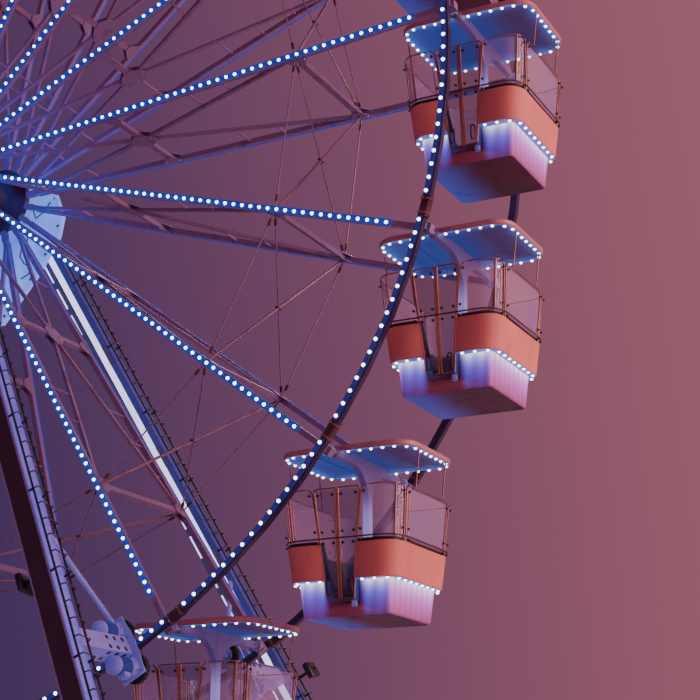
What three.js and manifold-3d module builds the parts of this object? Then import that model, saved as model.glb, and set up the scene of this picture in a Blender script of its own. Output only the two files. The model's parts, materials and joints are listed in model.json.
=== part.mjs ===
// Ferris wheel: an open wheel of two rims and paired spokes, with canopied gondolas hung on
// pivots between the rims, splayed box legs on a ground frame, and tyres that turn the rims.
// Millimetres. X runs across the face of the wheel, Y along its axle, and Z up from the ground.
import * as THREE from 'three';
import { mergeVertices } from 'three/addons/utils/BufferGeometryUtils.js';
import Module from 'manifold-3d';

const wasm = await Module();
wasm.setup();

// Wheel
const GONDOLA_COUNT = 18;
const RIM_RADIUS = 10500;
const HUB_HEIGHT = 13500;
const FIRST_SPOKE_DEG = 2.8;
const SPOKE_STEP_DEG = 360 / GONDOLA_COUNT;
const RIM_SPACING = 3150;
const RIM_RADIAL = 120;
const RIM_AXIAL = 110;
const RIM_SEGMENTS = 72;

// Spokes: two chords, two cross tubes and four diagonals, flat in one radial plane
const CHORD_Y_HUB = 870;
const CHORD_Y_RIM = 1390;
const CHORD_WIDTH = 100;
const CHORD_DEPTH = 90;
const INNER_TUBE_RADIUS = 3900;
const OUTER_TUBE_RADIUS = 7680;
const TUBE_WIDTH = 110;
const TUBE_DEPTH = 76;
const DIAGONAL_WIDTH = 64;
const DIAGONAL_DEPTH = 56;
const DIAGONAL_HUB_RADIUS = 900;
const BLOCK_RADIAL = 210;
const BLOCK_AXIAL = 150;
const BLOCK_DEPTH = 136;
const STUB_SIZE = 100;

// Hub, axle and tower heads
const HUB_APOTHEM = 650;
const HUB_FLANGE_THICKNESS = 120;
const HUB_DRUM_RADIUS = 260;
const HUB_DRUM_LIP = 20;
const AXLE_RADIUS = 150;
const AXLE_HALF_LENGTH = 1580;
// Right half of a head plate's outline, from its top down to the tip between the legs
const HEAD_PLATE = [[300, 600], [1120, 140], [1350, -430], [1280, -850], [820, -1560], [60, -2440]];
const HEAD_PLATE_Y = 1095;
const HEAD_PLATE_THICKNESS = 50;
const HEAD_BOSS_RADIUS = 420;
const HEAD_BOSS_START_Y = 1030;
const HEAD_BOSS_END_Y = 1560;
const ROUND_SIDES = 24;

// Legs and ground frame
const LEG_TOP_X = 240;
const LEG_TOP_Y = 1350;
const LEG_FOOT_X = 7200;
const LEG_FOOT_Y = 4000;
const LEG_WIDTH = 370;
const LEG_DEPTH = 320;
const LEG_TUBE_WIDTH = 110;
const LEG_POCKET_DEPTH = 200;
const LEG_POCKETS = 6;
const FIRST_POCKET = 1700;
const LAST_POCKET_TO_FOOT = 500;
const BATTEN_LENGTH = 600;
const BEAM_HEIGHT = 300;
const BEAM_WIDTH = 400;
const BEAM_HALF_LENGTH = 7800;

// Rim drives
const DRIVE_ANGLE_DEG = -61;
const TYRE_RADIUS = 230;
const TYRE_WIDTH = 100;
const TYRE_BORE_RADIUS = 45;
const TYRE_RIM_GAP = 8;
const TYRE_SIDES = 20;
const DRIVE_PLATE_Y = 1690;
const DRIVE_PLATE_THICKNESS = 40;
const DRIVE_PLATE_LENGTH = 960;
const DRIVE_PLATE_WIDTH = 420;
const DRIVE_ARM_RADIAL = 300;
const DRIVE_ARM_ALONG_RIM = 300;
const SHAFT_PAST_TYRE = 20;
const MOTOR_RADIUS = 130;
const MOTOR_LENGTH = 420;

// Gondola, measured from its pivot, with the outline of its body at each height
const TUB_BOTTOM = { width: 1466, depth: 1524, corner: 90, z: -2396 };
const TUB_TOP = { width: 1562, depth: 1620, corner: 90, z: -1874 };
const BAND_BOTTOM = { width: 1832, depth: 1934, corner: 300, z: -1874 };
const BAND_TOP = { width: 1936, depth: 2038, corner: 300, z: -1343 };
const RAIL = { width: 2072, depth: 2174, corner: 300, z: -499 };
const CANOPY = { width: 2270, depth: 1820, corner: 340, z: 90 };
const CANOPY_THICKNESS = 90;
const LEAST_CORNER = 40;
const CORNER_POINTS = 2;
const WALL = 40;
const BACKREST = 120;
const PANEL = 30;
const FLOOR_TOP = -2326;
const BENCH_HEIGHT = 440;
const BENCH_INNER_X = 360;
const DOOR_TOP_WIDTH = 610;
const DOOR_BOTTOM_WIDTH = 440;
const DOOR_SILL = -2190;
const DOOR_FOOT = { width: 1832, depth: 1850, corner: 300, z: -2300 };
const DOOR_BACK_Y = 745;
const DOOR_RECESS = 18;
const BEAM_BOX = 110;
const BEAM_BOX_HALF = 1100;
const JOURNAL_RADIUS = 45;
const JOURNAL_SIDES = 8;
const MAST_WIDTH = 130;
const GUSSET_REACH = 620;
const GUSSET_DROP = 480;
const GUSSET_BEND = 0.32;
const CANOPY_PAD = 700;

// Fits, and how far one solid runs into the next or a cut past the face it opens
const SEAT_GAP = 0.3;
const RUNNING_GAP = 0.5;
const OVERLAP = 10;
const OVERRUN = 60;

const PAINT = new THREE.MeshStandardMaterial({ color: 0xb9addd, roughness: 0.45, metalness: 0.3 });
const RIM_PAINT = new THREE.MeshStandardMaterial({ color: 0x2b2d6e, roughness: 0.4, metalness: 0.4 });
const STEEL = new THREE.MeshStandardMaterial({ color: 0x9a9cae, roughness: 0.3, metalness: 0.9 });
const LEG_PAINT = new THREE.MeshStandardMaterial({ color: 0x9d8fd8, roughness: 0.45, metalness: 0.3 });
const GONDOLA_PAINT = new THREE.MeshStandardMaterial({ color: 0xe08a7c, roughness: 0.35, metalness: 0.05 });
const TYRE_RUBBER = new THREE.MeshStandardMaterial({ color: 0x17171a, roughness: 0.85, metalness: 0 });

const spokeAngle = (index) => THREE.MathUtils.degToRad(FIRST_SPOKE_DEG - index * SPOKE_STEP_DEG);
const circumradius = (inner, sides) => inner / Math.cos(Math.PI / sides);

// Solids
function solidOf(geometry) {
  const bare = geometry.index ? geometry.toNonIndexed() : geometry.clone();
  bare.deleteAttribute('normal');
  bare.deleteAttribute('uv');
  const merged = mergeVertices(bare, 1e-3);
  return new wasm.Manifold(new wasm.Mesh({
    numProp: 3,
    vertProperties: new Float32Array(merged.attributes.position.array),
    triVerts: new Uint32Array(merged.index.array),
  }));
}

function geometryOf(solid) {
  const mesh = solid.getMesh();
  const geometry = new THREE.BufferGeometry();
  geometry.setAttribute('position', new THREE.BufferAttribute(new Float32Array(mesh.vertProperties), 3));
  geometry.setIndex(new THREE.BufferAttribute(new Uint32Array(mesh.triVerts), 1));
  geometry.computeVertexNormals();
  return geometry;
}

function joined(solids) {
  return solids.reduce((whole, solid) => whole.add(solid));
}

function namedMesh(name, solid, material) {
  const mesh = new THREE.Mesh(geometryOf(solid), material);
  mesh.name = name;
  return mesh;
}

function box(x0, x1, y0, y1, z0, z1) {
  const geometry = new THREE.BoxGeometry(x1 - x0, y1 - y0, z1 - z0);
  geometry.translate((x0 + x1) / 2, (y0 + y1) / 2, (z0 + z1) / 2);
  return solidOf(geometry);
}

// A round bar along Y, whose flats or corners start at the given turn about its own axis
function roundBar(radius, y0, y1, sides, turn = 0) {
  const geometry = new THREE.CylinderGeometry(radius, radius, y1 - y0, sides);
  geometry.rotateY(turn);
  geometry.translate(0, (y0 + y1) / 2, 0);
  return solidOf(geometry);
}

// A plate cut to an outline in the XY plane, centred on Z
function plateXY(points, thickness) {
  const shape = new THREE.Shape(points.map(([x, y]) => new THREE.Vector2(x, y)));
  const geometry = new THREE.ExtrudeGeometry(shape, { depth: thickness, bevelEnabled: false });
  geometry.translate(0, 0, -thickness / 2);
  return solidOf(geometry);
}

// A plate cut to an outline in the XZ plane, between two distances along Y
function plateXZ(points, y0, y1) {
  const shape = new THREE.Shape(points.map(([x, z]) => new THREE.Vector2(x, z)));
  const geometry = new THREE.ExtrudeGeometry(shape, { depth: y1 - y0, bevelEnabled: false });
  geometry.rotateX(Math.PI / 2);
  geometry.translate(0, y1, 0);
  return solidOf(geometry);
}

// A bar between two points of the XY plane
function barXY([x0, y0], [x1, y1], width, depth) {
  const along = new THREE.Vector2(x1 - x0, y1 - y0).normalize().multiplyScalar(width / 2);
  return plateXY([
    [x0 + along.y, y0 - along.x],
    [x1 + along.y, y1 - along.x],
    [x1 - along.y, y1 + along.x],
    [x0 - along.y, y0 + along.x],
  ], depth);
}

// The outline of a rectangle with rounded corners, as points of the XY plane
function roundedOutline(width, depth, corner) {
  const points = [];
  const centres = [[1, 1], [-1, 1], [-1, -1], [1, -1]];
  centres.forEach(([sideX, sideY], quarter) => {
    for (let step = 0; step < CORNER_POINTS; step += 1) {
      const angle = (quarter + step / (CORNER_POINTS - 1)) * Math.PI / 2;
      points.push([
        sideX * (width / 2 - corner) + corner * Math.cos(angle),
        sideY * (depth / 2 - corner) + corner * Math.sin(angle),
      ]);
    }
  });
  return points;
}

// A closed skin through level rings of equal point count, each ring given as its outline and height
function loft(rings) {
  const count = rings[0].outline.length;
  const positions = rings.flatMap(({ outline, z }) => outline.flatMap(([x, y]) => [x, y, z]));
  const index = [];
  for (let ring = 0; ring + 1 < rings.length; ring += 1) {
    for (let i = 0; i < count; i += 1) {
      const a = ring * count + i;
      const b = ring * count + (i + 1) % count;
      index.push(a, b, b + count, a, b + count, a + count);
    }
  }
  const last = (rings.length - 1) * count;
  for (let i = 1; i + 1 < count; i += 1) {
    index.push(0, i + 1, i);
    index.push(last, last + i, last + i + 1);
  }
  const geometry = new THREE.BufferGeometry();
  geometry.setAttribute('position', new THREE.BufferAttribute(new Float32Array(positions), 3));
  geometry.setIndex(index);
  return solidOf(geometry);
}

// Rims
function makeRim(name, side) {
  const inner = RIM_RADIUS - RIM_RADIAL / 2;
  const outer = RIM_RADIUS + RIM_RADIAL / 2;
  const half = RIM_AXIAL / 2;
  const corners = [[inner, -half], [outer, -half], [outer, half], [inner, half], [inner, -half]];
  const profile = corners.map(([radius, y]) => new THREE.Vector2(radius, y));
  const geometry = new THREE.LatheGeometry(profile, RIM_SEGMENTS);
  const rim = namedMesh(name, solidOf(geometry), RIM_PAINT);
  rim.position.set(0, side * RIM_SPACING / 2, HUB_HEIGHT);
  return rim;
}

// Spokes, drawn with X as the radius from the hub's centre and Y along the axle
function chordY(radius) {
  const share = (radius - HUB_APOTHEM) / (RIM_RADIUS - HUB_APOTHEM);
  return CHORD_Y_HUB + (CHORD_Y_RIM - CHORD_Y_HUB) * share;
}

function spokeSolid() {
  const inner = HUB_APOTHEM + SEAT_GAP;
  const outer = RIM_RADIUS + BLOCK_RADIAL / 2 - OVERLAP;
  const rimFaceY = (RIM_SPACING - RIM_AXIAL) / 2 - SEAT_GAP;
  const halfChord = CHORD_WIDTH / 2;
  const halfDepth = BLOCK_DEPTH / 2;
  const parts = [];
  for (const side of [-1, 1]) {
    parts.push(plateXY([
      [inner, side * chordY(inner) - halfChord],
      [outer, side * chordY(outer) - halfChord],
      [outer, side * chordY(outer) + halfChord],
      [inner, side * chordY(inner) + halfChord],
    ], CHORD_DEPTH));
    const blockRadii = [RIM_RADIUS - BLOCK_RADIAL / 2, RIM_RADIUS + BLOCK_RADIAL / 2];
    const blockY = [CHORD_Y_RIM - BLOCK_AXIAL / 2, CHORD_Y_RIM + BLOCK_AXIAL / 2];
    const block = box(...blockRadii, ...blockY, -halfDepth, halfDepth);
    const stub = box(
      RIM_RADIUS - STUB_SIZE / 2, RIM_RADIUS + STUB_SIZE / 2,
      CHORD_Y_RIM, rimFaceY, -STUB_SIZE / 2, STUB_SIZE / 2,
    );
    const end = block.add(stub);
    parts.push(side > 0 ? end : end.mirror([0, 1, 0]));
    for (const radius of [DIAGONAL_HUB_RADIUS, OUTER_TUBE_RADIUS]) {
      const chordPoint = [radius, side * chordY(radius)];
      parts.push(barXY([INNER_TUBE_RADIUS, 0], chordPoint, DIAGONAL_WIDTH, DIAGONAL_DEPTH));
    }
  }
  for (const radius of [INNER_TUBE_RADIUS, OUTER_TUBE_RADIUS]) {
    const reach = chordY(radius);
    parts.push(barXY([radius, -reach], [radius, reach], TUBE_WIDTH, TUBE_DEPTH));
  }
  return joined(parts);
}

function makeSpoke(solid, index) {
  const spoke = namedMesh(`spoke_${String(index + 1).padStart(2, '0')}`, solid, PAINT);
  spoke.rotation.y = -spokeAngle(index);
  spoke.position.z = HUB_HEIGHT;
  return spoke;
}

// Hub and axle
function makeHub() {
  const flat = circumradius(HUB_APOTHEM, GONDOLA_COUNT);
  // A corner of the flange lies half a spoke step from each spoke's flat
  const turn = Math.PI / 2 - spokeAngle(0) - Math.PI / GONDOLA_COUNT;
  const half = HUB_FLANGE_THICKNESS / 2;
  const flanges = [-CHORD_Y_HUB, CHORD_Y_HUB].map((y) => roundBar(flat, y - half, y + half, GONDOLA_COUNT, turn));
  const drumEnd = CHORD_Y_HUB + half + HUB_DRUM_LIP;
  const drum = roundBar(HUB_DRUM_RADIUS, -drumEnd, drumEnd, ROUND_SIDES);
  const boreRadius = circumradius(AXLE_RADIUS + RUNNING_GAP, ROUND_SIDES);
  // The bore is turned half a side, so that its flats face the corners of the axle at rest
  const bore = roundBar(boreRadius, -AXLE_HALF_LENGTH, AXLE_HALF_LENGTH, ROUND_SIDES, Math.PI / ROUND_SIDES);
  const hub = namedMesh('hub', joined([...flanges, drum]).subtract(bore), PAINT);
  hub.position.z = HUB_HEIGHT;
  return hub;
}

function makeAxle() {
  const axle = namedMesh('axle', roundBar(AXLE_RADIUS, -AXLE_HALF_LENGTH, AXLE_HALF_LENGTH, ROUND_SIDES), STEEL);
  axle.position.z = HUB_HEIGHT;
  return axle;
}

// Tower heads: a boss that the legs meet, and a plate across their wheel side
function makeHead(name, side) {
  const outline = [...HEAD_PLATE, ...HEAD_PLATE.map(([x, z]) => [-x, z]).reverse()];
  const plate = plateXZ(outline, HEAD_PLATE_Y, HEAD_PLATE_Y + HEAD_PLATE_THICKNESS);
  const boss = roundBar(HEAD_BOSS_RADIUS, HEAD_BOSS_START_Y, HEAD_BOSS_END_Y, ROUND_SIDES);
  const bore = roundBar(AXLE_RADIUS + SEAT_GAP, 0, 2 * AXLE_HALF_LENGTH, ROUND_SIDES);
  const solid = plate.add(boss).subtract(bore);
  const head = namedMesh(name, side > 0 ? solid : solid.mirror([0, 1, 0]), LEG_PAINT);
  head.position.z = HUB_HEIGHT;
  return head;
}

// Legs, drawn for the right side of the rear frame and mirrored for the others
const LEG_TOP = new THREE.Vector3(LEG_TOP_X, LEG_TOP_Y, HUB_HEIGHT);
const LEG_FOOT = new THREE.Vector3(LEG_FOOT_X, LEG_FOOT_Y, BEAM_HEIGHT);

// The frame of a leg: Z runs down its length, Y away from the wheel and X in and down
function legMatrix() {
  const down = LEG_FOOT.clone().sub(LEG_TOP).normalize();
  const across = new THREE.Vector3(0, 1, 0).cross(down).normalize();
  const outward = down.clone().cross(across);
  return new THREE.Matrix4().makeBasis(across, outward, down).setPosition(LEG_TOP);
}

function legPart(x0, x1, y0, y1, z0, z1) {
  const geometry = new THREE.BoxGeometry(x1 - x0, y1 - y0, z1 - z0);
  geometry.translate((x0 + x1) / 2, (y0 + y1) / 2, (z0 + z1) / 2);
  geometry.applyMatrix4(legMatrix());
  return solidOf(geometry);
}

const LEG_LENGTH = LEG_FOOT.distanceTo(LEG_TOP);

function plainLeg(shiftY = 0) {
  const halfWidth = LEG_WIDTH / 2;
  const halfDepth = LEG_DEPTH / 2;
  return legPart(-halfWidth, halfWidth, shiftY - halfDepth, shiftY + halfDepth, 0, LEG_LENGTH + LEG_WIDTH);
}

// Distances down the leg where the pockets between its batten plates start and end
function legPockets() {
  const last = LEG_LENGTH - LAST_POCKET_TO_FOOT;
  const pitch = (last - FIRST_POCKET + BATTEN_LENGTH) / LEG_POCKETS;
  return Array.from({ length: LEG_POCKETS }, (_, i) => [
    FIRST_POCKET + i * pitch,
    FIRST_POCKET + (i + 1) * pitch - BATTEN_LENGTH,
  ]);
}

function legSolid() {
  const pocketHalf = LEG_WIDTH / 2 - LEG_TUBE_WIDTH;
  const innerFace = -LEG_DEPTH / 2;
  const pockets = legPockets().map(([start, end]) => legPart(
    -pocketHalf, pocketHalf, innerFace - OVERRUN, innerFace + LEG_POCKET_DEPTH, start, end,
  ));
  const boss = roundBar(
    HEAD_BOSS_RADIUS + circumradius(SEAT_GAP, ROUND_SIDES), 0, 2 * HEAD_BOSS_END_Y, ROUND_SIDES,
  ).translate([0, 0, HUB_HEIGHT]);
  const floor = box(0, 2 * LEG_FOOT_X, 0, 2 * LEG_FOOT_Y, -2 * BEAM_HEIGHT, BEAM_HEIGHT + SEAT_GAP);
  return plainLeg().subtract(joined([boss, floor, ...pockets]));
}

// The copy of a rear right solid for another side of the wheel
function mirroredTo(solid, sideX, sideY) {
  const turned = sideX < 0 ? solid.mirror([1, 0, 0]) : solid;
  return sideY < 0 ? turned.mirror([0, 1, 0]) : turned;
}

// Ground frame
function makeGroundFrame() {
  const half = BEAM_WIDTH / 2;
  const beams = [['front', -1], ['rear', 1]].map(([name, side]) => {
    const y = side * LEG_FOOT_Y;
    const solid = box(-BEAM_HALF_LENGTH, BEAM_HALF_LENGTH, y - half, y + half, 0, BEAM_HEIGHT);
    return namedMesh(`${name}_base_beam`, solid, LEG_PAINT);
  });
  const reach = LEG_FOOT_Y - half - SEAT_GAP;
  const ties = [['left', -1], ['right', 1]].map(([name, side]) => {
    const x = side * LEG_FOOT_X;
    return namedMesh(`${name}_base_beam`, box(x - half, x + half, -reach, reach, 0, BEAM_HEIGHT), LEG_PAINT);
  });
  return [...beams, ...ties];
}

// Rim drives: a plate on the leg's wheel side carries two motors, whose tyres run on the rim
const RIM_SAGITTA = RIM_RADIUS * (1 - Math.cos(Math.PI / RIM_SEGMENTS));
const TYRE_CENTRE_RADII = {
  inner: RIM_RADIUS - RIM_RADIAL / 2 - RIM_SAGITTA - TYRE_RIM_GAP - TYRE_RADIUS,
  outer: RIM_RADIUS + RIM_RADIAL / 2 + TYRE_RIM_GAP + TYRE_RADIUS,
};

function tyreCentre(place) {
  const angle = THREE.MathUtils.degToRad(DRIVE_ANGLE_DEG);
  const radius = TYRE_CENTRE_RADII[place];
  return [radius * Math.cos(angle), HUB_HEIGHT + radius * Math.sin(angle)];
}

// A block beside the drive's place on the rim, square to the rim's radius there
function driveBlock(halfRadial, halfAlong, y0, y1) {
  const angle = THREE.MathUtils.degToRad(DRIVE_ANGLE_DEG);
  const geometry = new THREE.BoxGeometry(2 * halfRadial, y1 - y0, 2 * halfAlong);
  geometry.rotateY(-angle);
  geometry.translate(
    RIM_RADIUS * Math.cos(angle), (y0 + y1) / 2, HUB_HEIGHT + RIM_RADIUS * Math.sin(angle),
  );
  return solidOf(geometry);
}

// How far from the wheel's middle the leg's centre line is at the drive
function legYAtDrive() {
  const drop = -RIM_RADIUS * Math.sin(THREE.MathUtils.degToRad(DRIVE_ANGLE_DEG));
  return LEG_TOP_Y + (LEG_FOOT_Y - LEG_TOP_Y) * drop / (HUB_HEIGHT - BEAM_HEIGHT);
}

function driveBracketSolid() {
  const plateEnd = DRIVE_PLATE_Y + DRIVE_PLATE_THICKNESS;
  const plate = driveBlock(DRIVE_PLATE_LENGTH / 2, DRIVE_PLATE_WIDTH / 2, DRIVE_PLATE_Y, plateEnd);
  const arm = driveBlock(
    DRIVE_ARM_RADIAL / 2, DRIVE_ARM_ALONG_RIM / 2, DRIVE_PLATE_Y + OVERLAP, legYAtDrive(),
  );
  const shaftStart = (RIM_SPACING - TYRE_WIDTH) / 2 - SHAFT_PAST_TYRE;
  const drives = ['inner', 'outer'].map((place) => {
    const [x, z] = tyreCentre(place);
    const shaft = roundBar(TYRE_BORE_RADIUS - RUNNING_GAP, shaftStart, plateEnd, JOURNAL_SIDES);
    const motor = roundBar(MOTOR_RADIUS, plateEnd - OVERLAP, plateEnd + MOTOR_LENGTH, ROUND_SIDES / 2);
    return shaft.add(motor).translate([x, 0, z]);
  });
  return joined([plate, arm.subtract(plainLeg(-SEAT_GAP)), ...drives]);
}

function makeTyre(name, place, side) {
  const half = TYRE_WIDTH / 2;
  const bore = circumradius(TYRE_BORE_RADIUS, TYRE_SIDES);
  const corners = [[bore, -half], [TYRE_RADIUS, -half], [TYRE_RADIUS, half], [bore, half], [bore, -half]];
  const geometry = new THREE.LatheGeometry(corners.map(([r, y]) => new THREE.Vector2(r, y)), TYRE_SIDES);
  const tyre = namedMesh(name, solidOf(geometry), TYRE_RUBBER);
  const [x, z] = tyreCentre(place);
  tyre.position.set(x, side * RIM_SPACING / 2, z);
  return tyre;
}

// Gondola, drawn about its pivot
function ring({ width, depth, corner, z }, inset = 0, height = z) {
  const inner = Math.max(corner - inset, LEAST_CORNER);
  return { outline: roundedOutline(width - 2 * inset, depth - 2 * inset, inner), z: height };
}

function bodySkin() {
  return loft([TUB_BOTTOM, TUB_TOP, BAND_BOTTOM, BAND_TOP, RAIL].map((level) => ring(level)));
}

// A floor well between two benches with sloping backs, and the room inside the clear panels
function cabinHollow() {
  const well = { width: 2 * BENCH_INNER_X, depth: TUB_BOTTOM.depth - 2 * WALL, corner: WALL, z: FLOOR_TOP };
  const benchTop = FLOOR_TOP + BENCH_HEIGHT;
  return loft([
    ring(well),
    ring(well, 0, benchTop),
    ring(TUB_TOP, 2 * WALL, benchTop),
    ring(BAND_TOP, BACKREST),
    ring(BAND_TOP, PANEL),
    ring(RAIL, PANEL, RAIL.z + OVERRUN),
  ]);
}

// The band's front carried on down past the tub, in which the door leaves lie
function doorSkin(inset) {
  return loft([DOOR_FOOT, BAND_BOTTOM, BAND_TOP, RAIL].map((level) => ring(level, inset)));
}

// The tapered outline of the two door leaves, as a block from before the body back to a distance
function doorBlock(backY) {
  return plateXZ([
    [-DOOR_BOTTOM_WIDTH / 2, DOOR_SILL], [DOOR_BOTTOM_WIDTH / 2, DOOR_SILL],
    [DOOR_TOP_WIDTH / 2, BAND_TOP.z], [-DOOR_TOP_WIDTH / 2, BAND_TOP.z],
  ], -RAIL.depth, backY);
}

// The leaves are set a little back in the band, and stand before the tub on a step
function bodyWithDoor() {
  const step = doorBlock(-DOOR_BACK_Y).intersect(doorSkin(DOOR_RECESS / 2));
  const recess = doorBlock(0).subtract(doorSkin(DOOR_RECESS));
  return bodySkin().add(step).subtract(recess).subtract(cabinHollow());
}

// The axle beam, the mast that hangs from it and the curved gusset between them, as one thick plate
function mastSolid() {
  const half = MAST_WIDTH / 2;
  const top = BEAM_BOX / 2;
  const profile = [
    [half, FLOOR_TOP - OVERLAP],
    [half, -top - GUSSET_DROP],
    [GUSSET_REACH * GUSSET_BEND, -top - GUSSET_DROP * GUSSET_BEND],
    [GUSSET_REACH, -top],
    [BEAM_BOX_HALF, -top],
    [BEAM_BOX_HALF, top],
    [CANOPY_PAD, top],
    [CANOPY_PAD, CANOPY.z + OVERLAP],
  ];
  const outline = [...profile, ...profile.map(([y, z]) => [-y, z]).reverse()];
  const shape = new THREE.Shape(outline.map(([y, z]) => new THREE.Vector2(y, z)));
  const plate = new THREE.ExtrudeGeometry(shape, { depth: BEAM_BOX, bevelEnabled: false });
  plate.translate(0, 0, -BEAM_BOX / 2);
  plate.rotateX(Math.PI / 2);
  plate.rotateZ(Math.PI / 2);
  return solidOf(plate);
}

function gondolaSolid() {
  const journalEnd = CHORD_Y_RIM - BLOCK_AXIAL / 2 - SEAT_GAP;
  const journal = roundBar(JOURNAL_RADIUS, -journalEnd, journalEnd, JOURNAL_SIDES);
  const canopy = loft([ring(CANOPY), ring(CANOPY, 0, CANOPY.z + CANOPY_THICKNESS)]);
  return joined([bodyWithDoor(), mastSolid(), journal, canopy]);
}

function makeGondola(solid, index) {
  const angle = spokeAngle(index);
  const gondola = namedMesh(`gondola_${String(index + 1).padStart(2, '0')}`, solid, GONDOLA_PAINT);
  gondola.position.set(RIM_RADIUS * Math.cos(angle), 0, HUB_HEIGHT + RIM_RADIUS * Math.sin(angle));
  return gondola;
}

// Assembly
const wheel = new THREE.Group();
wheel.add(makeRim('front_rim', -1), makeRim('rear_rim', 1), makeHub());
const spoke = spokeSolid();
const gondola = gondolaSolid();
for (let index = 0; index < GONDOLA_COUNT; index += 1) {
  wheel.add(makeSpoke(spoke, index), makeGondola(gondola, index));
}

const tower = new THREE.Group();
tower.add(makeAxle(), makeHead('front_tower_head', -1), makeHead('rear_tower_head', 1));
const leg = legSolid();
const bracket = driveBracketSolid();
for (const [name, side] of [['front', -1], ['rear', 1]]) {
  tower.add(namedMesh(`${name}_left_leg`, mirroredTo(leg, -1, side), LEG_PAINT));
  tower.add(namedMesh(`${name}_right_leg`, mirroredTo(leg, 1, side), LEG_PAINT));
  tower.add(namedMesh(`${name}_drive_bracket`, mirroredTo(bracket, 1, side), PAINT));
  tower.add(makeTyre(`${name}_inner_tyre`, 'inner', side), makeTyre(`${name}_outer_tyre`, 'outer', side));
}
tower.add(...makeGroundFrame());

const ferrisWheel = new THREE.Group();
ferrisWheel.add(wheel, tower);

export default ferrisWheel;
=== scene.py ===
"""Dresses the ferris wheel: its lit rims and spokes, canopied gondolas, legs and rim drives.

Metres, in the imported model's frame: X across the face of the wheel, Y along its axle, Z up.
"""

from __future__ import annotations

import json
import logging
import math
from dataclasses import dataclass, field
from enum import Enum
from functools import cache
from itertools import product
from typing import Callable, Iterable, Sequence

import bmesh
import bpy
from mathutils import Matrix, Vector

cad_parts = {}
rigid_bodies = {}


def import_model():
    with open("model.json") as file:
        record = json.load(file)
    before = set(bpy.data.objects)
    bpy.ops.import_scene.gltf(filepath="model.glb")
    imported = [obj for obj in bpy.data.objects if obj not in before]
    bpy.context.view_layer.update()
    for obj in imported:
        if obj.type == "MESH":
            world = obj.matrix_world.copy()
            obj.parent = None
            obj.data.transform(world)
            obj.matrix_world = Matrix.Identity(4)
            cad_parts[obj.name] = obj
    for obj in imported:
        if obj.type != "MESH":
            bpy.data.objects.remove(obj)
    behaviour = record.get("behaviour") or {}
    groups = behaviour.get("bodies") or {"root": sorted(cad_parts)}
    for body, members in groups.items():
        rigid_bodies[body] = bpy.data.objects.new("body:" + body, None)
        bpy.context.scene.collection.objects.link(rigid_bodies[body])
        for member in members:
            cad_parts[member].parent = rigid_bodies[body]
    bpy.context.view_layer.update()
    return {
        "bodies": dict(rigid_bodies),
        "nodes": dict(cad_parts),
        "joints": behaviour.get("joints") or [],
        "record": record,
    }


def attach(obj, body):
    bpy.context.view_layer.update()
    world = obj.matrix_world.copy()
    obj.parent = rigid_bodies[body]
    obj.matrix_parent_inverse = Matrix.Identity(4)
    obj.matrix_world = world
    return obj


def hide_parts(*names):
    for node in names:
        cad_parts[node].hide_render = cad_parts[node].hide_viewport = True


LOG = logging.getLogger("ferris_wheel")

Colour = tuple[float, float, float]
Point = Sequence[float]
Profile = Sequence[tuple[float, float]]
Stud = tuple[float, float]

GONDOLA_COUNT = 18
HUB_HEIGHT = 13.5
RIM_RADIUS = 10.5
FIRST_SPOKE_DEG = 2.8
PLACE = "place"
FACING = "facing"
UNLIT: Colour = (0.0, 0.0, 0.0)
NUMBER = "NodeSocketFloat"
COUNT = "NodeSocketInt"
MATERIAL = "NodeSocketMaterial"


class Slot(Enum):
    """The record's material slots, named beside the finished pieces but never set on them."""

    STRUCTURE = "structure_paint"
    LEG = "leg_paint"
    STEEL = "steel"
    SHELL = "gondola_shell"
    TYRE = "tyre"


class Side(Enum):
    """Which side of the wheel a piece stands on, as the sign of Y."""

    FRONT = -1
    REAR = 1

    @property
    def outwards(self) -> Vector:
        """The direction away from the wheel."""
        return Vector((0, self.value, 0))


class Glow(Enum):
    """Where a finish carries painted light from the lamps beside it, emitted by the surface."""

    NONE = "none"
    EVEN = "even"
    TUB = "tub"
    CANOPY = "canopy"
    MAST = "mast"
    UNDER = "under"
    RIM = "rim"
    SPOKE = "spoke"
    LEG = "leg"


def spoke_angle(index: float) -> float:
    """The angle of a spoke above the X axis, in radians."""
    return math.radians(FIRST_SPOKE_DEG - index * 360 / GONDOLA_COUNT)


def wheel_point(radius: float, angle: float, y: float, along: float = 0.0) -> Vector:
    """A point of the wheel.

    Args:
        radius: distance from the axle.
        angle: angle above the X axis, in radians.
        y: distance along the axle.
        along: offset square to the radius, anticlockwise seen from the front.

    Returns:
        The point in the model's frame.
    """
    cos, sin = math.cos(angle), math.sin(angle)
    return Vector((radius * cos - along * sin, y, HUB_HEIGHT + radius * sin + along * cos))


def wheel_axes(angle: float) -> tuple[Vector, Vector]:
    """The directions along a spoke at an angle and square to it, in the wheel's plane."""
    radial = wheel_point(1.0, angle, 0.0) - wheel_point(0.0, angle, 0.0)
    return radial, Vector((-radial.z, 0, radial.x))


def link(obj: bpy.types.Object) -> bpy.types.Object:
    """Puts an object in the scene."""
    bpy.context.scene.collection.objects.link(obj)
    return obj


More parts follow.
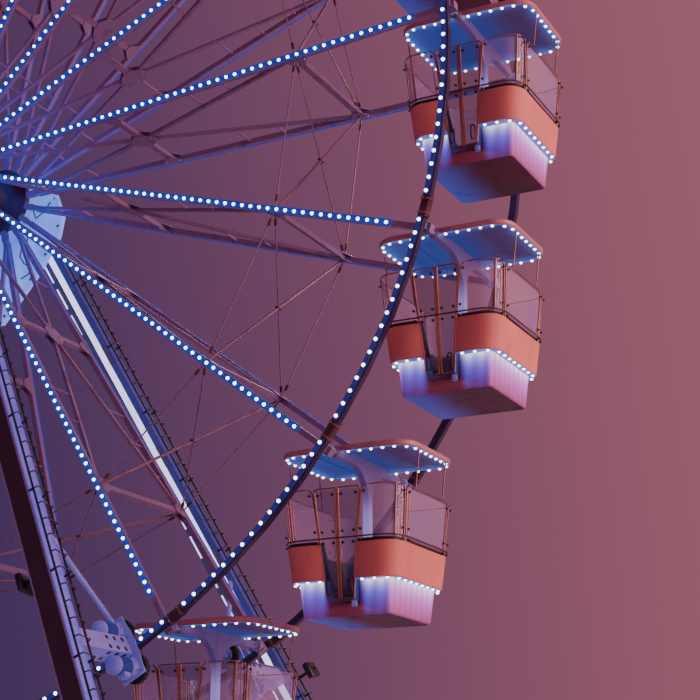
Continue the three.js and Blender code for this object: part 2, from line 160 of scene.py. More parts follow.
class Wiring:
    """Short calls that add and join nodes of one tree."""

    def __init__(self, tree: bpy.types.NodeTree) -> None:
        """Keeps the tree that the calls work on."""
        self.tree = tree
        self.start: bpy.types.NodeOutputs | None = None

    @classmethod
    def group(cls, name: str, kind: str, inputs: Sequence[tuple], outputs: Sequence[tuple]) -> Wiring:
        """Starts a node group.

        Args:
            name: the group's name.
            kind: the tree's type name.
            inputs: name, socket type and, where it has one, the default value of each input.
            outputs: name and socket type of each output.

        Returns:
            The group's wiring, with the sockets of its inputs as its start.
        """
        wires = cls(bpy.data.node_groups.new(name, kind))
        for direction, rows in (("INPUT", inputs), ("OUTPUT", outputs)):
            for label, socket, *default in rows:
                made = wires.tree.interface.new_socket(name=label, in_out=direction, socket_type=socket)
                if default:
                    made.default_value = default[0]
        wires.start = wires.node("NodeGroupInput").outputs
        return wires

    def fill(self, node: bpy.types.Node, inputs: dict) -> bpy.types.Node:
        """Links a node's inputs to sockets, or sets their own values.

        Args:
            node: the node.
            inputs: values or sockets, by the inputs' names or numbers.

        Returns:
            The same node.
        """
        for key, value in inputs.items():
            if isinstance(value, bpy.types.NodeSocket):
                self.tree.links.new(value, node.inputs[key])
            else:
                node.inputs[key].default_value = value
        return node

    def node(self, kind: str, inputs: dict | None = None, **settings) -> bpy.types.Node:
        """Adds a node.

        Args:
            kind: the node's type name.
            inputs: values or sockets for its inputs, by name or number.
            settings: properties to set on the node.

        Returns:
            The new node.
        """
        made = self.tree.nodes.new(kind)
        for name, value in settings.items():
            setattr(made, name, value)
        return self.fill(made, inputs or {})

    def out(self, kind: str, inputs: dict, **settings) -> bpy.types.NodeSocket:
        """The first output of a new node."""
        return self.node(kind, inputs, **settings).outputs[0]

    def math(self, operation: str, *values: object, clamp: bool = False) -> bpy.types.NodeSocket:
        """The result of a math node on its values."""
        return self.out("ShaderNodeMath", dict(enumerate(values)), operation=operation, use_clamp=clamp)

    def vector(self, x: object, y: object, z: object) -> bpy.types.NodeSocket:
        """A vector of three values."""
        return self.out("ShaderNodeCombineXYZ", {0: x, 1: y, 2: z})

    def noise(self, place: object, scale: object, detail: float = 2.0) -> bpy.types.NodeSocket:
        """A noise texture's value at a place."""
        return self.out("ShaderNodeTexNoise", {"Vector": place, "Scale": scale, "Detail": detail})

    def object_place(self) -> bpy.types.NodeSocket:
        """The object coordinates of the surface."""
        return self.node("ShaderNodeTexCoord").outputs["Object"]

    def ramp(self, value: object, low: float, high: float) -> bpy.types.NodeSocket:
        """A value brought smoothly from the range low to high into 0 to 1, and held there."""
        span = {0: value, 1: low, 2: high, 3: 0.0, 4: 1.0}
        return self.out("ShaderNodeMapRange", span, interpolation_type="SMOOTHSTEP")

    def blend(self, share: object, a: object, b: object) -> bpy.types.NodeSocket:
        """The colour between a and b at the given share."""
        first, last = ((*c, 1.0) if isinstance(c, tuple) else c for c in (a, b))
        return self.node("ShaderNodeMix", {0: share, 6: first, 7: last}, data_type="RGBA").outputs[2]


class SurfaceGroups:
    """Shader groups that several finishes share, each built once."""

    @staticmethod
    @cache
    def ageing() -> bpy.types.NodeTree:
        """Grime, colour drift and fine grain of a painted or bare surface.

        Returns:
            The node group, with masks and a height as its outputs.
        """
        inputs = [("Vector", "NodeSocketVector"), ("Patch Scale", NUMBER, 1.2), ("Grain Scale", NUMBER, 90.0)]
        outputs = [(name, NUMBER) for name in ("Grime", "Drift", "Scuff", "Height")]
        wires = Wiring.group("surface_ageing", "ShaderNodeTree", inputs, outputs)
        place = wires.start["Vector"]
        squeeze = wires.vector(1.0, 1.0, 0.25)
        streaked = wires.out("ShaderNodeVectorMath", {0: place, 1: squeeze}, operation="MULTIPLY")
        cells = {"Vector": streaked, "Scale": 23.0}
        scratch = wires.out("ShaderNodeTexVoronoi", cells, feature="DISTANCE_TO_EDGE")
        grain = wires.noise(place, wires.start["Grain Scale"], 3.0)
        wires.node("NodeGroupOutput", {
            "Grime": wires.ramp(wires.noise(streaked, 4.0, 5.0), 0.5, 0.78),
            "Drift": wires.ramp(wires.noise(place, wires.start["Patch Scale"]), 0.3, 0.7),
            "Scuff": wires.math("MULTIPLY", wires.ramp(scratch, 0.03, 0.0), wires.ramp(grain, 0.45, 0.6)),
            "Height": grain,
        })
        return wires.tree

    @staticmethod
    @cache
    def falloff() -> bpy.types.NodeTree:
        """How brightly a lamp row lights a surface at a distance from it, up to its reach.

        Returns:
            The node group.
        """
        inputs = [("Distance", NUMBER, 0.0), ("Reach", NUMBER, 0.5)]
        wires = Wiring.group("lamp_falloff", "ShaderNodeTree", inputs, [("Mask", NUMBER)])
        share = wires.math("DIVIDE", wires.start["Distance"], wires.start["Reach"], clamp=True)
        left = wires.math("SUBTRACT", 1.0, share, clamp=True)
        wires.node("NodeGroupOutput", {"Mask": wires.math("POWER", left, 1.8)})
        return wires.tree


def new_material(name: str) -> tuple[bpy.types.Material, Wiring, bpy.types.Node]:
    """Starts a material.

    Args:
        name: its name.

    Returns:
        The material, its tree's wiring and its shader node.
    """
    made = bpy.data.materials.new(name)
    made.use_nodes = True
    return made, Wiring(made.node_tree), made.node_tree.nodes["Principled BSDF"]


@dataclass(frozen=True)
class Finish:
    """One finish of the wheel, and how its material is made."""

    name: str
    colour: Colour
    roughness: float = 0.4
    metallic: float = 0.0
    second: Colour | None = None
    grime: Colour = (0.03, 0.02, 0.04)
    grime_share: float = 0.35
    grain: float = 90.0
    bump: float = 0.08
    patch: float = 1.2
    alpha: float = 1.0
    # The glow fields paint lamp light on the surface, as an emission in place of the nearby lamps' light.
    glow: Glow = Glow.NONE
    glow_near: Colour = (0.6, 0.75, 1.0)
    glow_far: Colour = (0.05, 0.12, 0.9)
    glow_side: Colour = (0.8, 0.35, 0.8)
    glow_strength: float = 1.0

    @cache
    def material(self) -> bpy.types.Material:
        """Builds the finish's material, at its first use.

        Returns:
            The material.
        """
        made, wires, shader = new_material(self.name)
        place = wires.object_place()
        age = wires.node(
            "ShaderNodeGroup", {"Vector": place, "Grain Scale": self.grain, "Patch Scale": self.patch},
            node_tree=SurfaceGroups.ageing(),
        ).outputs
        second = self.second or tuple(c * 0.8 for c in self.colour)
        share = wires.math("MULTIPLY", age["Grime"], self.grime_share)
        rough = wires.math("MULTIPLY_ADD", age["Grime"], 0.25, self.roughness)
        bump = {"Height": age["Height"], "Strength": self.bump, "Distance": 0.004}
        wires.fill(shader, {
            "Base Color": wires.blend(share, wires.blend(age["Drift"], self.colour, second), self.grime),
            "Roughness": wires.math("SUBTRACT", rough, wires.math("MULTIPLY", age["Scuff"], 0.1)),
            "Normal": wires.out("ShaderNodeBump", bump),
            "Metallic": self.metallic,
            "Alpha": self.alpha,
        })
        # Painted lamp light: the surface emits the light that the lamps beside it would cast.
        if self.glow is not Glow.NONE:
            light = self._glow_colour(wires, place)
            wires.fill(shader, {"Emission Color": light, "Emission Strength": self.glow_strength})
        return made

    def _glow_colour(self, wires: Wiring, place: bpy.types.NodeSocket) -> bpy.types.NodeSocket:
        """The colour that the lamps beside the surface lend it, black out of their reach.

        Args:
            wires: the material's tree.
            place: object coordinates.

        Returns:
            A colour socket for the shader's emission.
        """
        if self.glow is Glow.EVEN:
            return wires.blend(wires.ramp(wires.noise(place, 1.5), 0.3, 0.7), self.glow_near, self.glow_far)
        on_wheel = {Glow.RIM: self._rim_glow, Glow.SPOKE: self._spoke_glow, Glow.LEG: self._leg_glow}
        on_gondola = {
            Glow.UNDER: self._under_glow, Glow.CANOPY: self._canopy_glow, Glow.MAST: self._mast_glow,
            Glow.TUB: self._tub_glow,
        }
        if self.glow in on_gondola:
            place = wires.node("ShaderNodeAttribute", attribute_name=PLACE).outputs["Vector"]
        x, y, z = wires.node("ShaderNodeSeparateXYZ", {0: place}).outputs
        return (on_wheel | on_gondola)[self.glow](wires, x, y, z)

    def _under_glow(self, wires: Wiring, x: object, _y: object, _z: object) -> bpy.types.NodeSocket:
        """Painted blue lamp light on the half of the underside that faces the lamps."""
        return wires.blend(wires.ramp(x, 0.10, -0.75), UNLIT, self.glow_far)

    def _mast_glow(self, wires: Wiring, _x: object, _y: object, z: object) -> bpy.types.NodeSocket:
        """Light that grows down the mast, towards the tub's lamps."""
        return wires.blend(wires.ramp(z, -0.35, -0.85), self.glow_side, self.glow_near)

    def _canopy_glow(self, wires: Wiring, x: object, y: object, _z: object) -> bpy.types.NodeSocket:
        """Light under the canopy, brightest along its lamps.

        Args:
            wires: the material's tree.
            x, y: the place from the gondola's pivot.
            _z: the height, not used.

        Returns:
            A colour for the emission.
        """
        canopy = Gondola.canopy
        to_side = wires.math("SUBTRACT", canopy.width / 2 - 0.005, wires.math("ABSOLUTE", x))
        to_front = wires.math("SUBTRACT", canopy.depth / 2 - 0.005, wires.math("ABSOLUTE", y))
        mask = self._falloff(wires, wires.math("MINIMUM", to_side, to_front), 0.5)
        deep = wires.blend(wires.ramp(x, -0.1, 0.7), self.glow_far, self.glow_side)
        return wires.blend(wires.math("POWER", mask, 2.6), deep, self.glow_near)

    def _tub_glow(self, wires: Wiring, x: object, y: object, z: object) -> bpy.types.NodeSocket:
        """Light below the band's lamps: scalloped white, then a colour by face, none under the door.

        Args:
            wires: the material's tree.
            x: place across the gondola.
            y: place along its depth.
            z: height from its pivot.

        Returns:
            A colour socket for the shader's emission.
        """
        phase = wires.math("MULTIPLY", wires.math("ADD", x, y), 2 * math.pi / Gondola.lamp_spacing)
        scallop = wires.math("MULTIPLY", wires.math("COSINE", phase), 0.025)
        below = wires.math("SUBTRACT", Gondola.tub_top.z, z)
        mask = self._falloff(wires, wires.math("SUBTRACT", below, scallop), 0.64)
        off_middle = wires.math("ABSOLUTE", x)
        far = wires.blend(wires.ramp(off_middle, 0.68, 0.73), self.glow_far, self.glow_side)
        lit = wires.blend(wires.math("POWER", mask, 4.0), far, self.glow_near)
        shown = wires.math("MAXIMUM", wires.ramp(off_middle, 0.24, 0.36), wires.ramp(y, -0.74, -0.70))
        share = wires.math("MULTIPLY", wires.math("POWER", mask, 0.75), shown)
        return wires.blend(share, UNLIT, lit)

    def _rim_glow(self, wires: Wiring, x: object, y: object, z: object) -> bpy.types.NodeSocket:
        """Painted blue lamp light on the lamp faces of the rims.

        Args:
            wires: the material's tree.
            x, y, z: the place in the model's frame.

        Returns:
            A colour for the emission.
        """
        radius, out = self._radius(wires, x, z), wires.math("ABSOLUTE", y)
        face = self._falloff(wires, wires.math("SUBTRACT", Wheel.rim_face + 0.002, out), 0.02)
        inner = wires.ramp(radius, RIM_RADIUS + 0.035, RIM_RADIUS + 0.015)
        return wires.blend(wires.math("MULTIPLY", face, inner), UNLIT, self.glow_far)

    def _spoke_glow(self, wires: Wiring, x: object, y: object, z: object) -> bpy.types.NodeSocket:
        """Painted blue lamp light on the lamp faces of the chords, as far as the lamps go, and around the
        hub.

        Args:
            wires: the material's tree.
            x, y, z: the place in the model's frame.

        Returns:
            A colour for the emission.
        """
        wheel = Wheel()
        radius, out = self._radius(wires, x, z), wires.math("ABSOLUTE", y)
        slope = (wheel.chord_rim - wheel.chord_hub) / (RIM_RADIUS - wheel.hub_face)
        start = wheel.chord_y(0.0) + wheel.chord_half
        face = wires.math("MULTIPLY_ADD", radius, slope, start)
        beside = self._falloff(wires, wires.math("SUBTRACT", face, out), 0.06)
        before_end = wires.ramp(radius, wheel.lamps_to + 0.15, wheel.lamps_to - 0.05)
        beside = wires.math("MULTIPLY", beside, before_end)
        near_hub = wires.math("MULTIPLY", wires.math("POWER", wires.ramp(radius, 5.0, 0.7), 2.0), 0.7)
        return wires.blend(wires.math("MAXIMUM", beside, near_hub), UNLIT, self.glow_far)

    def _leg_glow(self, wires: Wiring, x: object, y: object, z: object) -> bpy.types.NodeSocket:
        """Light on the wheel side of a leg, where its tubes carry lamps.

        Args:
            wires: the material's tree.
            x, y, z: the place in the model's frame.

        Returns:
            A colour for the emission.
        """
        leg = Leg()
        away = tuple(leg.frame(1, 1).to_3x3().col[1])
        folded = wires.vector(wires.math("ABSOLUTE", x), wires.math("ABSOLUTE", y), z)
        offset = wires.out("ShaderNodeVectorMath", {0: folded, 1: tuple(leg.top)}, operation="SUBTRACT")
        dot = wires.node("ShaderNodeVectorMath", {0: offset, 1: away}, operation="DOT_PRODUCT")
        mask = self._falloff(wires, wires.math("ADD", dot.outputs["Value"], leg.depth / 2), 0.16)
        return wires.blend(mask, UNLIT, self.glow_near)

    @staticmethod
    def _radius(wires: Wiring, x: object, z: object) -> bpy.types.NodeSocket:
        """Measures from the wheel's axle.

        Args:
            wires: the material's tree.
            x, z: the place in the wheel's plane.

        Returns:
            The distance.
        """
        up = wires.math("SUBTRACT", z, HUB_HEIGHT)
        square = wires.math("ADD", wires.math("MULTIPLY", x, x), wires.math("MULTIPLY", up, up))
        return wires.math("SQRT", square)

    @staticmethod
    def _falloff(wires: Wiring, distance: bpy.types.NodeSocket, reach: float) -> bpy.types.NodeSocket:
        """The falloff group's mask at a distance."""
        inputs = {"Distance": distance, "Reach": reach}
        return wires.out("ShaderNodeGroup", inputs, node_tree=SurfaceGroups.falloff())


@dataclass(frozen=True)
class LensFinish:
    """The white heart and blue skirt of a lit lamp."""

    name: str
    heart: Colour
    skirt: Colour
    strength: float

    @cache
    def material(self) -> bpy.types.Material:
        """Builds the lens material, at its first use.

        Returns:
            The material.
        """
        made, wires, shader = new_material(self.name)
        facing = wires.node("ShaderNodeLayerWeight", {"Blend": 0.35}).outputs["Facing"]
        drift = wires.ramp(wires.noise(wires.object_place(), 3.0), 0.3, 0.7)
        edge = wires.blend(drift, self.skirt, tuple(c * 0.9 for c in self.skirt))
        wires.fill(shader, {
            "Emission Color": wires.blend(wires.ramp(facing, 0.35, 0.95), self.heart, edge),
            "Emission Strength": self.strength,
            "Base Color": (*self.heart, 1.0),
            "Roughness": 0.25,
        })
        return made


# Lavender steel paint; its emission is painted blue lamp light on the chords' lamp faces and round the hub.
LAVENDER_LAMPLIT = Finish(
    "lavender_steel_paint", (0.20, 0.11, 0.30), 0.42, 0.2, second=(0.25, 0.11, 0.22),
    glow=Glow.SPOKE, glow_far=(0.008, 0.045, 0.36), glow_strength=0.8,
)
ROD = Finish("rod_paint", (0.27, 0.13, 0.25), 0.4, 0.3, second=(0.32, 0.14, 0.22))
# Dark rim paint; its emission is painted blue lamp light on the rims' lamp faces.
RIM_DARK_LAMPLIT = Finish(
    "rim_dark_paint", (0.026, 0.016, 0.075), 0.35, 0.4, second=(0.045, 0.018, 0.06),
    glow=Glow.RIM, glow_far=(0.02, 0.06, 0.55), glow_strength=0.3,
)
# Blue lamp channels; their even emission is painted lamp light.
CHANNEL = Finish(
    "lamp_channel_blue", (0.02, 0.04, 0.30), 0.35, 0.1,
    glow=Glow.EVEN, glow_near=(0.02, 0.08, 0.7), glow_far=(0.015, 0.05, 0.5), glow_strength=0.4,
)
COLLAR = Finish("lamp_collar", (0.02, 0.04, 0.2), 0.4)
LENS = LensFinish("lamp_lens", (0.78, 0.89, 1.0), (0.22, 0.42, 1.0), 5.0)
COPPER = Finish("copper_brown_tube", (0.42, 0.15, 0.09), 0.28, 0.7, second=(0.28, 0.09, 0.09), bump=0.03)
HOOP = Finish("hoop_bronze", (0.20, 0.07, 0.09), 0.3, 0.7, second=(0.34, 0.14, 0.13), bump=0.03)
DARK_FITTING = Finish("dark_fitting", (0.05, 0.02, 0.04), 0.4, 0.6, second=(0.14, 0.05, 0.05))
BLACK = Finish("black_moulding", (0.012, 0.010, 0.016), 0.45, grain=220.0, bump=0.15)
BAND = Finish("band_salmon", (0.60, 0.155, 0.14), 0.72, second=(0.52, 0.13, 0.13), grime_share=0.1, bump=0.03)
# The tub is white: its dark plum base colour is painted shade away from the lamps, and its emission is
# painted lamp light below the band, white near the lamps and none under the door.
TUB = Finish(
    "tub_lit_white", (0.30, 0.055, 0.12), 0.65, grime_share=0.12, bump=0.03,
    glow=Glow.TUB, glow_near=(0.80, 0.86, 1.0), glow_far=(0.05, 0.08, 0.85), glow_side=(0.42, 0.14, 0.80),
    glow_strength=1.5,
)
# Under the tub: the dark base colour is painted shade, and the blue emission on the side that faces the lamps
# is painted lamp light.
UNDERSIDE = Finish(
    "tub_underside", (0.11, 0.022, 0.06), 0.6, second=(0.08, 0.022, 0.07), patch=0.9, bump=0.05,
    glow=Glow.UNDER, glow_far=(0.010, 0.055, 0.36), glow_strength=0.8,
)
LEDGE = Finish(
    "band_ledge_lit", (0.12, 0.10, 0.35), 0.4, glow=Glow.EVEN,
    glow_near=(0.10, 0.16, 0.75), glow_far=(0.07, 0.11, 0.60), glow_strength=0.6,
)
# The door's cheeks: their even blue emission is painted lamp light.
DOORWAY = Finish(
    "doorway_blue", (0.02, 0.035, 0.16), 0.45, glow=Glow.EVEN,
    glow_near=(0.01, 0.06, 0.36), glow_far=(0.008, 0.04, 0.25), glow_strength=0.5,
)
INTERIOR = Finish("tub_lining", (0.035, 0.02, 0.06), 0.55, second=(0.02, 0.03, 0.10))
SEAT = Finish("seat_moulding", (0.06, 0.022, 0.055), 0.5, second=(0.045, 0.02, 0.08), grain=160.0, bump=0.2)
MAT = Finish("floor_mat", (0.02, 0.015, 0.03), 0.85, grain=60.0, bump=0.6)
CANOPY_EDGE = Finish("canopy_salmon", (0.42, 0.14, 0.17), 0.5, second=(0.34, 0.11, 0.17), grime_share=0.12)
# The canopy's lining: a near-black base, its blue and purple all painted lamp light.
CANOPY_UNDER = Finish(
    "canopy_blue", (0.015, 0.010, 0.04), 0.6, glow=Glow.CANOPY, glow_near=(0.10, 0.20, 0.75),
    glow_far=(0.012, 0.038, 0.24), glow_side=(0.040, 0.017, 0.085), glow_strength=1.0,
)
# Mast and gussets: the dark base colour is painted shade on the plates, and the emission, lilac down the
# post, is painted lamp light.
MAST = Finish(
    "mast_lit_lilac", (0.11, 0.05, 0.13), 0.5, 0.1, glow=Glow.MAST,
    glow_near=(0.36, 0.34, 0.95), glow_side=(0.05, 0.03, 0.14), glow_strength=0.8,
)
CLEAR = Finish(
    "clear_panel", (0.62, 0.36, 0.62), 0.08, second=(0.52, 0.34, 0.66), grime=(0.4, 0.25, 0.5),
    grime_share=0.2, bump=0.0, alpha=0.16,
)
DOOR_GLASS = Finish(
    "door_glass", (0.12, 0.07, 0.20), 0.08, second=(0.05, 0.07, 0.24), grime=(0.2, 0.12, 0.3),
    grime_share=0.2, bump=0.0, alpha=0.22,
)
# Plum leg paint; its emission is painted lamp light on the legs' wheel side.
LEG_PAINT_LAMPLIT = Finish(
    "leg_plum_paint", (0.05, 0.016, 0.045), 0.6, second=(0.042, 0.014, 0.034),
    glow=Glow.LEG, glow_near=(0.20, 0.20, 0.85), glow_strength=0.12,
)
LEG_EDGE = Finish("leg_edge_lavender", (0.36, 0.27, 0.55), 0.4, 0.3, second=(0.40, 0.25, 0.48))
LEG_LIGHT = Finish(
    "leg_light_strip", (0.8, 0.78, 0.95), 0.35, glow=Glow.EVEN,
    glow_near=(0.80, 0.78, 1.0), glow_far=(0.55, 0.6, 1.0), glow_strength=1.6,
)
# Painted lamp light on the plate behind the front legs' ladders.
LEG_GLOW = Finish(
    "leg_glow_lavender", (0.10, 0.08, 0.26), 0.6, glow=Glow.EVEN,
    glow_near=(0.09, 0.09, 0.55), glow_far=(0.14, 0.11, 0.52), glow_strength=0.85,
)
# Painted shade: a dark blue sheet behind the rear legs' ladders and a strip beside the light strips, with
# faint painted lamp light as emission; the same finish also colours the motors' ribs.
LEG_SHADE = Finish(
    "leg_shade_blue", (0.03, 0.03, 0.14), 0.6, glow=Glow.EVEN,
    glow_near=(0.015, 0.025, 0.20), glow_far=(0.03, 0.04, 0.26), glow_strength=0.6,
)
# White heads shown lit: the blue base colour and the emission are painted lamp light.
HEAD_LAMPLIT = Finish(
    "head_lit_white", (0.16, 0.24, 0.60), 0.4, glow=Glow.EVEN,
    glow_near=(0.17, 0.31, 1.0), glow_far=(0.10, 0.20, 0.85), glow_strength=1.0, grime_share=0.3,
)
# The hub: the near-black base colour is painted shade of its deep hollows, and the faint blue emission is
# painted lamp light.
HUB_SHADED = Finish(
    "hub_dark", (0.030, 0.010, 0.025), 0.5, 0.3, second=(0.09, 0.02, 0.04),
    glow=Glow.EVEN, glow_near=(0.0, 0.0, 0.0), glow_far=(0.004, 0.012, 0.09), glow_strength=1.0,
)
# Pale paint of caps, plates, motors and struts; its even blue emission is painted lamp light.
WHITE_PAINT_LAMPLIT = Finish(
    "pale_lavender_paint", (0.20, 0.17, 0.42), 0.45, 0.1, second=(0.18, 0.14, 0.34), grime_share=0.3,
    glow=Glow.EVEN, glow_near=(0.06, 0.07, 0.34), glow_far=(0.02, 0.03, 0.20), glow_strength=0.7,
)
STEEL = Finish("bright_steel", (0.40, 0.36, 0.46), 0.28, 0.95, grain=260.0)
RUBBER = Finish("tyre_rubber", (0.014, 0.013, 0.015), 0.8, grain=140.0, bump=0.35)
BEAM_PAINT = Finish("ground_beam_paint", (0.20, 0.14, 0.32), 0.5, 0.3, grime_share=0.6)
FLOOR = Finish("studio_floor", (0.62, 0.58, 0.62), 0.8, second=(0.60, 0.56, 0.60), grime_share=0.0, bump=0.0)


class Trees:
    """Geometry node trees that repeat or sweep a shape along a guide, each built once."""

    @staticmethod
    def _start(name: str, *rows: tuple) -> Wiring:
        """A new tree with a geometry input and output and further inputs: name, socket type, default."""
        geometry = ("Geometry", "NodeSocketGeometry")
        return Wiring.group(name, "GeometryNodeTree", (geometry, *rows), (geometry,))

    @staticmethod
    def _with_material(wires: Wiring, geometry: object, material: object) -> bpy.types.NodeSocket:
        """The geometry with a material set on all of it."""
        return wires.out("GeometryNodeSetMaterial", {"Geometry": geometry, "Material": material})

    @classmethod
    def _end(cls, wires: Wiring, geometry: object, material: object = None) -> bpy.types.NodeTree:
        """Ends a tree with real geometry, not instances.

        Args:
            wires: the tree's wiring.
            geometry: the geometry to end with.
            material: the material of all of it, if one.

        Returns:
            The tree.
        """
        real = wires.out("GeometryNodeRealizeInstances", {0: geometry})
        if material is not None:
            real = cls._with_material(wires, real, material)
        wires.node("NodeGroupOutput", {0: real})
        return wires.tree

    @staticmethod
    def _moved(wires: Wiring, geometry: object, rise: object, **inputs: object) -> bpy.types.NodeSocket:
        """The geometry raised along its Z axis, with further inputs of the transform by name."""
        lift = wires.vector(0.0, 0.0, rise)
        return wires.out("GeometryNodeTransform", {"Geometry": geometry, "Translation": lift, **inputs})

    @staticmethod
    def _on_points(wires: Wiring, points: object, *parts: bpy.types.NodeSocket) -> bpy.types.NodeSocket:
        """Sets parts on every point, facing the way the guide says.

        Args:
            wires: the tree's wiring.
            points: the points, or a curve of them.
            parts: the parts, joined as one shape.

        Returns:
            The instances.
        """
        whole = wires.node("GeometryNodeJoinGeometry")
        for part in parts:
            wires.fill(whole, {0: part})
        facing = wires.node("GeometryNodeInputNamedAttribute", {"Name": FACING}, data_type="FLOAT_VECTOR")
        turn = {"Vector": facing.outputs["Attribute"]}
        inputs = {
            "Points": points, "Instance": whole.outputs[0],
            "Rotation": wires.out("FunctionNodeAlignRotationToVector", turn, axis="Z"),
        }
        return wires.out("GeometryNodeInstanceOnPoints", inputs)

    @classmethod
    @cache
    def lamp_row(cls) -> bpy.types.NodeTree:
        """Lamps at an even spacing along each path, each facing the way its guide says.

        Returns:
            The tree.
        """
        wires = cls._start(
            "lamp_row", ("Spacing", NUMBER, 0.17), ("Radius", NUMBER, 0.03), ("Collar Height", NUMBER, 0.02),
            ("Lens", MATERIAL), ("Collar", MATERIAL),
        )
        curve = wires.out("GeometryNodeMeshToCurve", {0: wires.start["Geometry"]})
        pitch = {"Curve": curve, "Length": wires.start["Spacing"]}
        even = wires.out("GeometryNodeResampleCurve", pitch, mode="LENGTH")
        radius, rise = wires.start["Radius"], wires.start["Collar Height"]
        ball = wires.out("GeometryNodeMeshUVSphere", {"Segments": 8, "Rings": 4, "Radius": 1.0})
        lens = cls._moved(wires, ball, rise, Scale=wires.vector(radius, radius, radius))
        lens = cls._with_material(wires, lens, wires.start["Lens"])
        lens = wires.out("GeometryNodeSetShadeSmooth", {"Geometry": lens})
        wide = wires.math("MULTIPLY", radius, 1.25)
        ring = wires.out("GeometryNodeMeshCylinder", {"Vertices": 8, "Radius": wide, "Depth": rise})
        ring = cls._moved(wires, ring, wires.math("MULTIPLY", rise, 0.5))
        ring = cls._with_material(wires, ring, wires.start["Collar"])
        return cls._end(wires, cls._on_points(wires, even, ring, lens))

    @classmethod
    @cache
    def tube_run(cls) -> bpy.types.NodeTree:
        """A round tube along each path.

        Returns:
            The tree.
        """
        wires = cls._start("tube_run", ("Radius", NUMBER, 0.02), ("Sides", COUNT, 8), ("Finish", MATERIAL))
        curve = wires.out("GeometryNodeMeshToCurve", {0: wires.start["Geometry"]})
        section = {"Resolution": wires.start["Sides"], "Radius": wires.start["Radius"]}
        profile = wires.out("GeometryNodeCurvePrimitiveCircle", section)
        swept = {"Curve": curve, "Profile Curve": profile, "Fill Caps": True}
        return cls._end(wires, wires.out("GeometryNodeCurveToMesh", swept), wires.start["Finish"])

    @classmethod
    @cache
    def stud_field(cls) -> bpy.types.NodeTree:
        """A headed stud at each point, such as a bolt with its washer, or a round knob.

        Returns:
            The tree.
        """
        wires = cls._start(
            "stud_field", ("Radius", NUMBER, 0.02), ("Height", NUMBER, 0.02), ("Sides", COUNT, 6),
            ("Finish", MATERIAL),
        )
        radius, height = wires.start["Radius"], wires.start["Height"]
        head = wires.out("GeometryNodeMeshCone", {
            "Vertices": wires.start["Sides"], "Radius Bottom": radius, "Depth": height,
            "Radius Top": wires.math("MULTIPLY", radius, 0.86),
        })
        washer = wires.out("GeometryNodeMeshCylinder", {
            "Vertices": 10, "Radius": wires.math("MULTIPLY", radius, 1.35),
            "Depth": wires.math("MULTIPLY", height, 0.3),
        })
        washer = cls._moved(wires, washer, wires.math("MULTIPLY", height, 0.05))
        studs = cls._on_points(wires, wires.start["Geometry"], head, washer)
        return cls._end(wires, studs, wires.start["Finish"])


class Guide:
    """Paths and points that a geometry node tree dresses."""

    def __init__(self) -> None:
        """Starts with no points."""
        self.points: list[Vector] = []
        self.facings: list[Vector] = []
        self.links: list[tuple[int, int]] = []

    def path(self, points: Iterable[Point], facing: Point = (0, 0, 1), closed: bool = False) -> None:
        """Adds a line.

        Args:
            points: its points, in order.
            facing: the one direction for all of it.
            closed: whether its last point is joined to its first.
        """
        first = len(self.points)
        for point in points:
            self.spot(point, facing)
        last = len(self.points) - 1
        self.links += [(i, i + 1) for i in range(first, last)]
        if closed:
            self.links.append((last, first))

    def spot(self, point: Point, facing: Point) -> None:
        """Adds a lone point and the way it faces."""
        self.points.append(Vector(point))
        self.facings.append(Vector(facing))

    def grown(self, tree: bpy.types.NodeTree, **inputs) -> bpy.types.Mesh:
        """Runs a tree on the guide.

        Args:
            tree: the geometry node tree.
            inputs: the tree's inputs, with spaces written as underscores.

        Returns:
            The result as a plain mesh.
        """
        mesh = bpy.data.meshes.new("guide")
        mesh.from_pydata([tuple(p) for p in self.points], self.links, [])
        facing = mesh.attributes.new(FACING, "FLOAT_VECTOR", "POINT")
        facing.data.foreach_set("vector", [c for f in self.facings for c in f])
        obj = link(bpy.data.objects.new("guide", mesh))
        modifier = obj.modifiers.new("grow", "NODES")
        modifier.node_group = tree
        for item in tree.interface.items_tree:
            key = item.name.replace(" ", "_").lower()
            if item.in_out == "INPUT" and key in inputs:
                modifier[item.identifier] = inputs[key]
        result = evaluated_mesh(obj)
        obj.modifiers.remove(modifier)
        bpy.data.objects.remove(obj)
        bpy.data.meshes.remove(mesh)
        return result

    def lamps(self, spacing: float, radius: float, collar_height: float) -> bpy.types.Mesh:
        """Lit lamps along the paths.

        Args:
            spacing: the distance between lamps.
            radius: the lens's radius.
            collar_height: the height under the lens.

        Returns:
            The lamps as a plain mesh.
        """
        return self.grown(
            Trees.lamp_row(), spacing=spacing, radius=radius, collar_height=collar_height,
            lens=LENS.material(), collar=COLLAR.material(),
        )

    def tubes(self, radius: float, finish: Finish, sides: int = 6) -> bpy.types.Mesh:
        """Round tubes along the paths."""
        return self.grown(Trees.tube_run(), radius=radius, sides=sides, finish=finish.material())

    def studs(self, radius: float, height: float, finish: Finish, sides: int = 6) -> bpy.types.Mesh:
        """Headed studs on the points."""
        tree = Trees.stud_field()
        return self.grown(tree, radius=radius, height=height, sides=sides, finish=finish.material())


def evaluated_mesh(obj: bpy.types.Object) -> bpy.types.Mesh:
    """A plain mesh of an object with its modifiers applied."""
    graph = bpy.context.evaluated_depsgraph_get()
    return bpy.data.meshes.new_from_object(obj.evaluated_get(graph), depsgraph=graph)


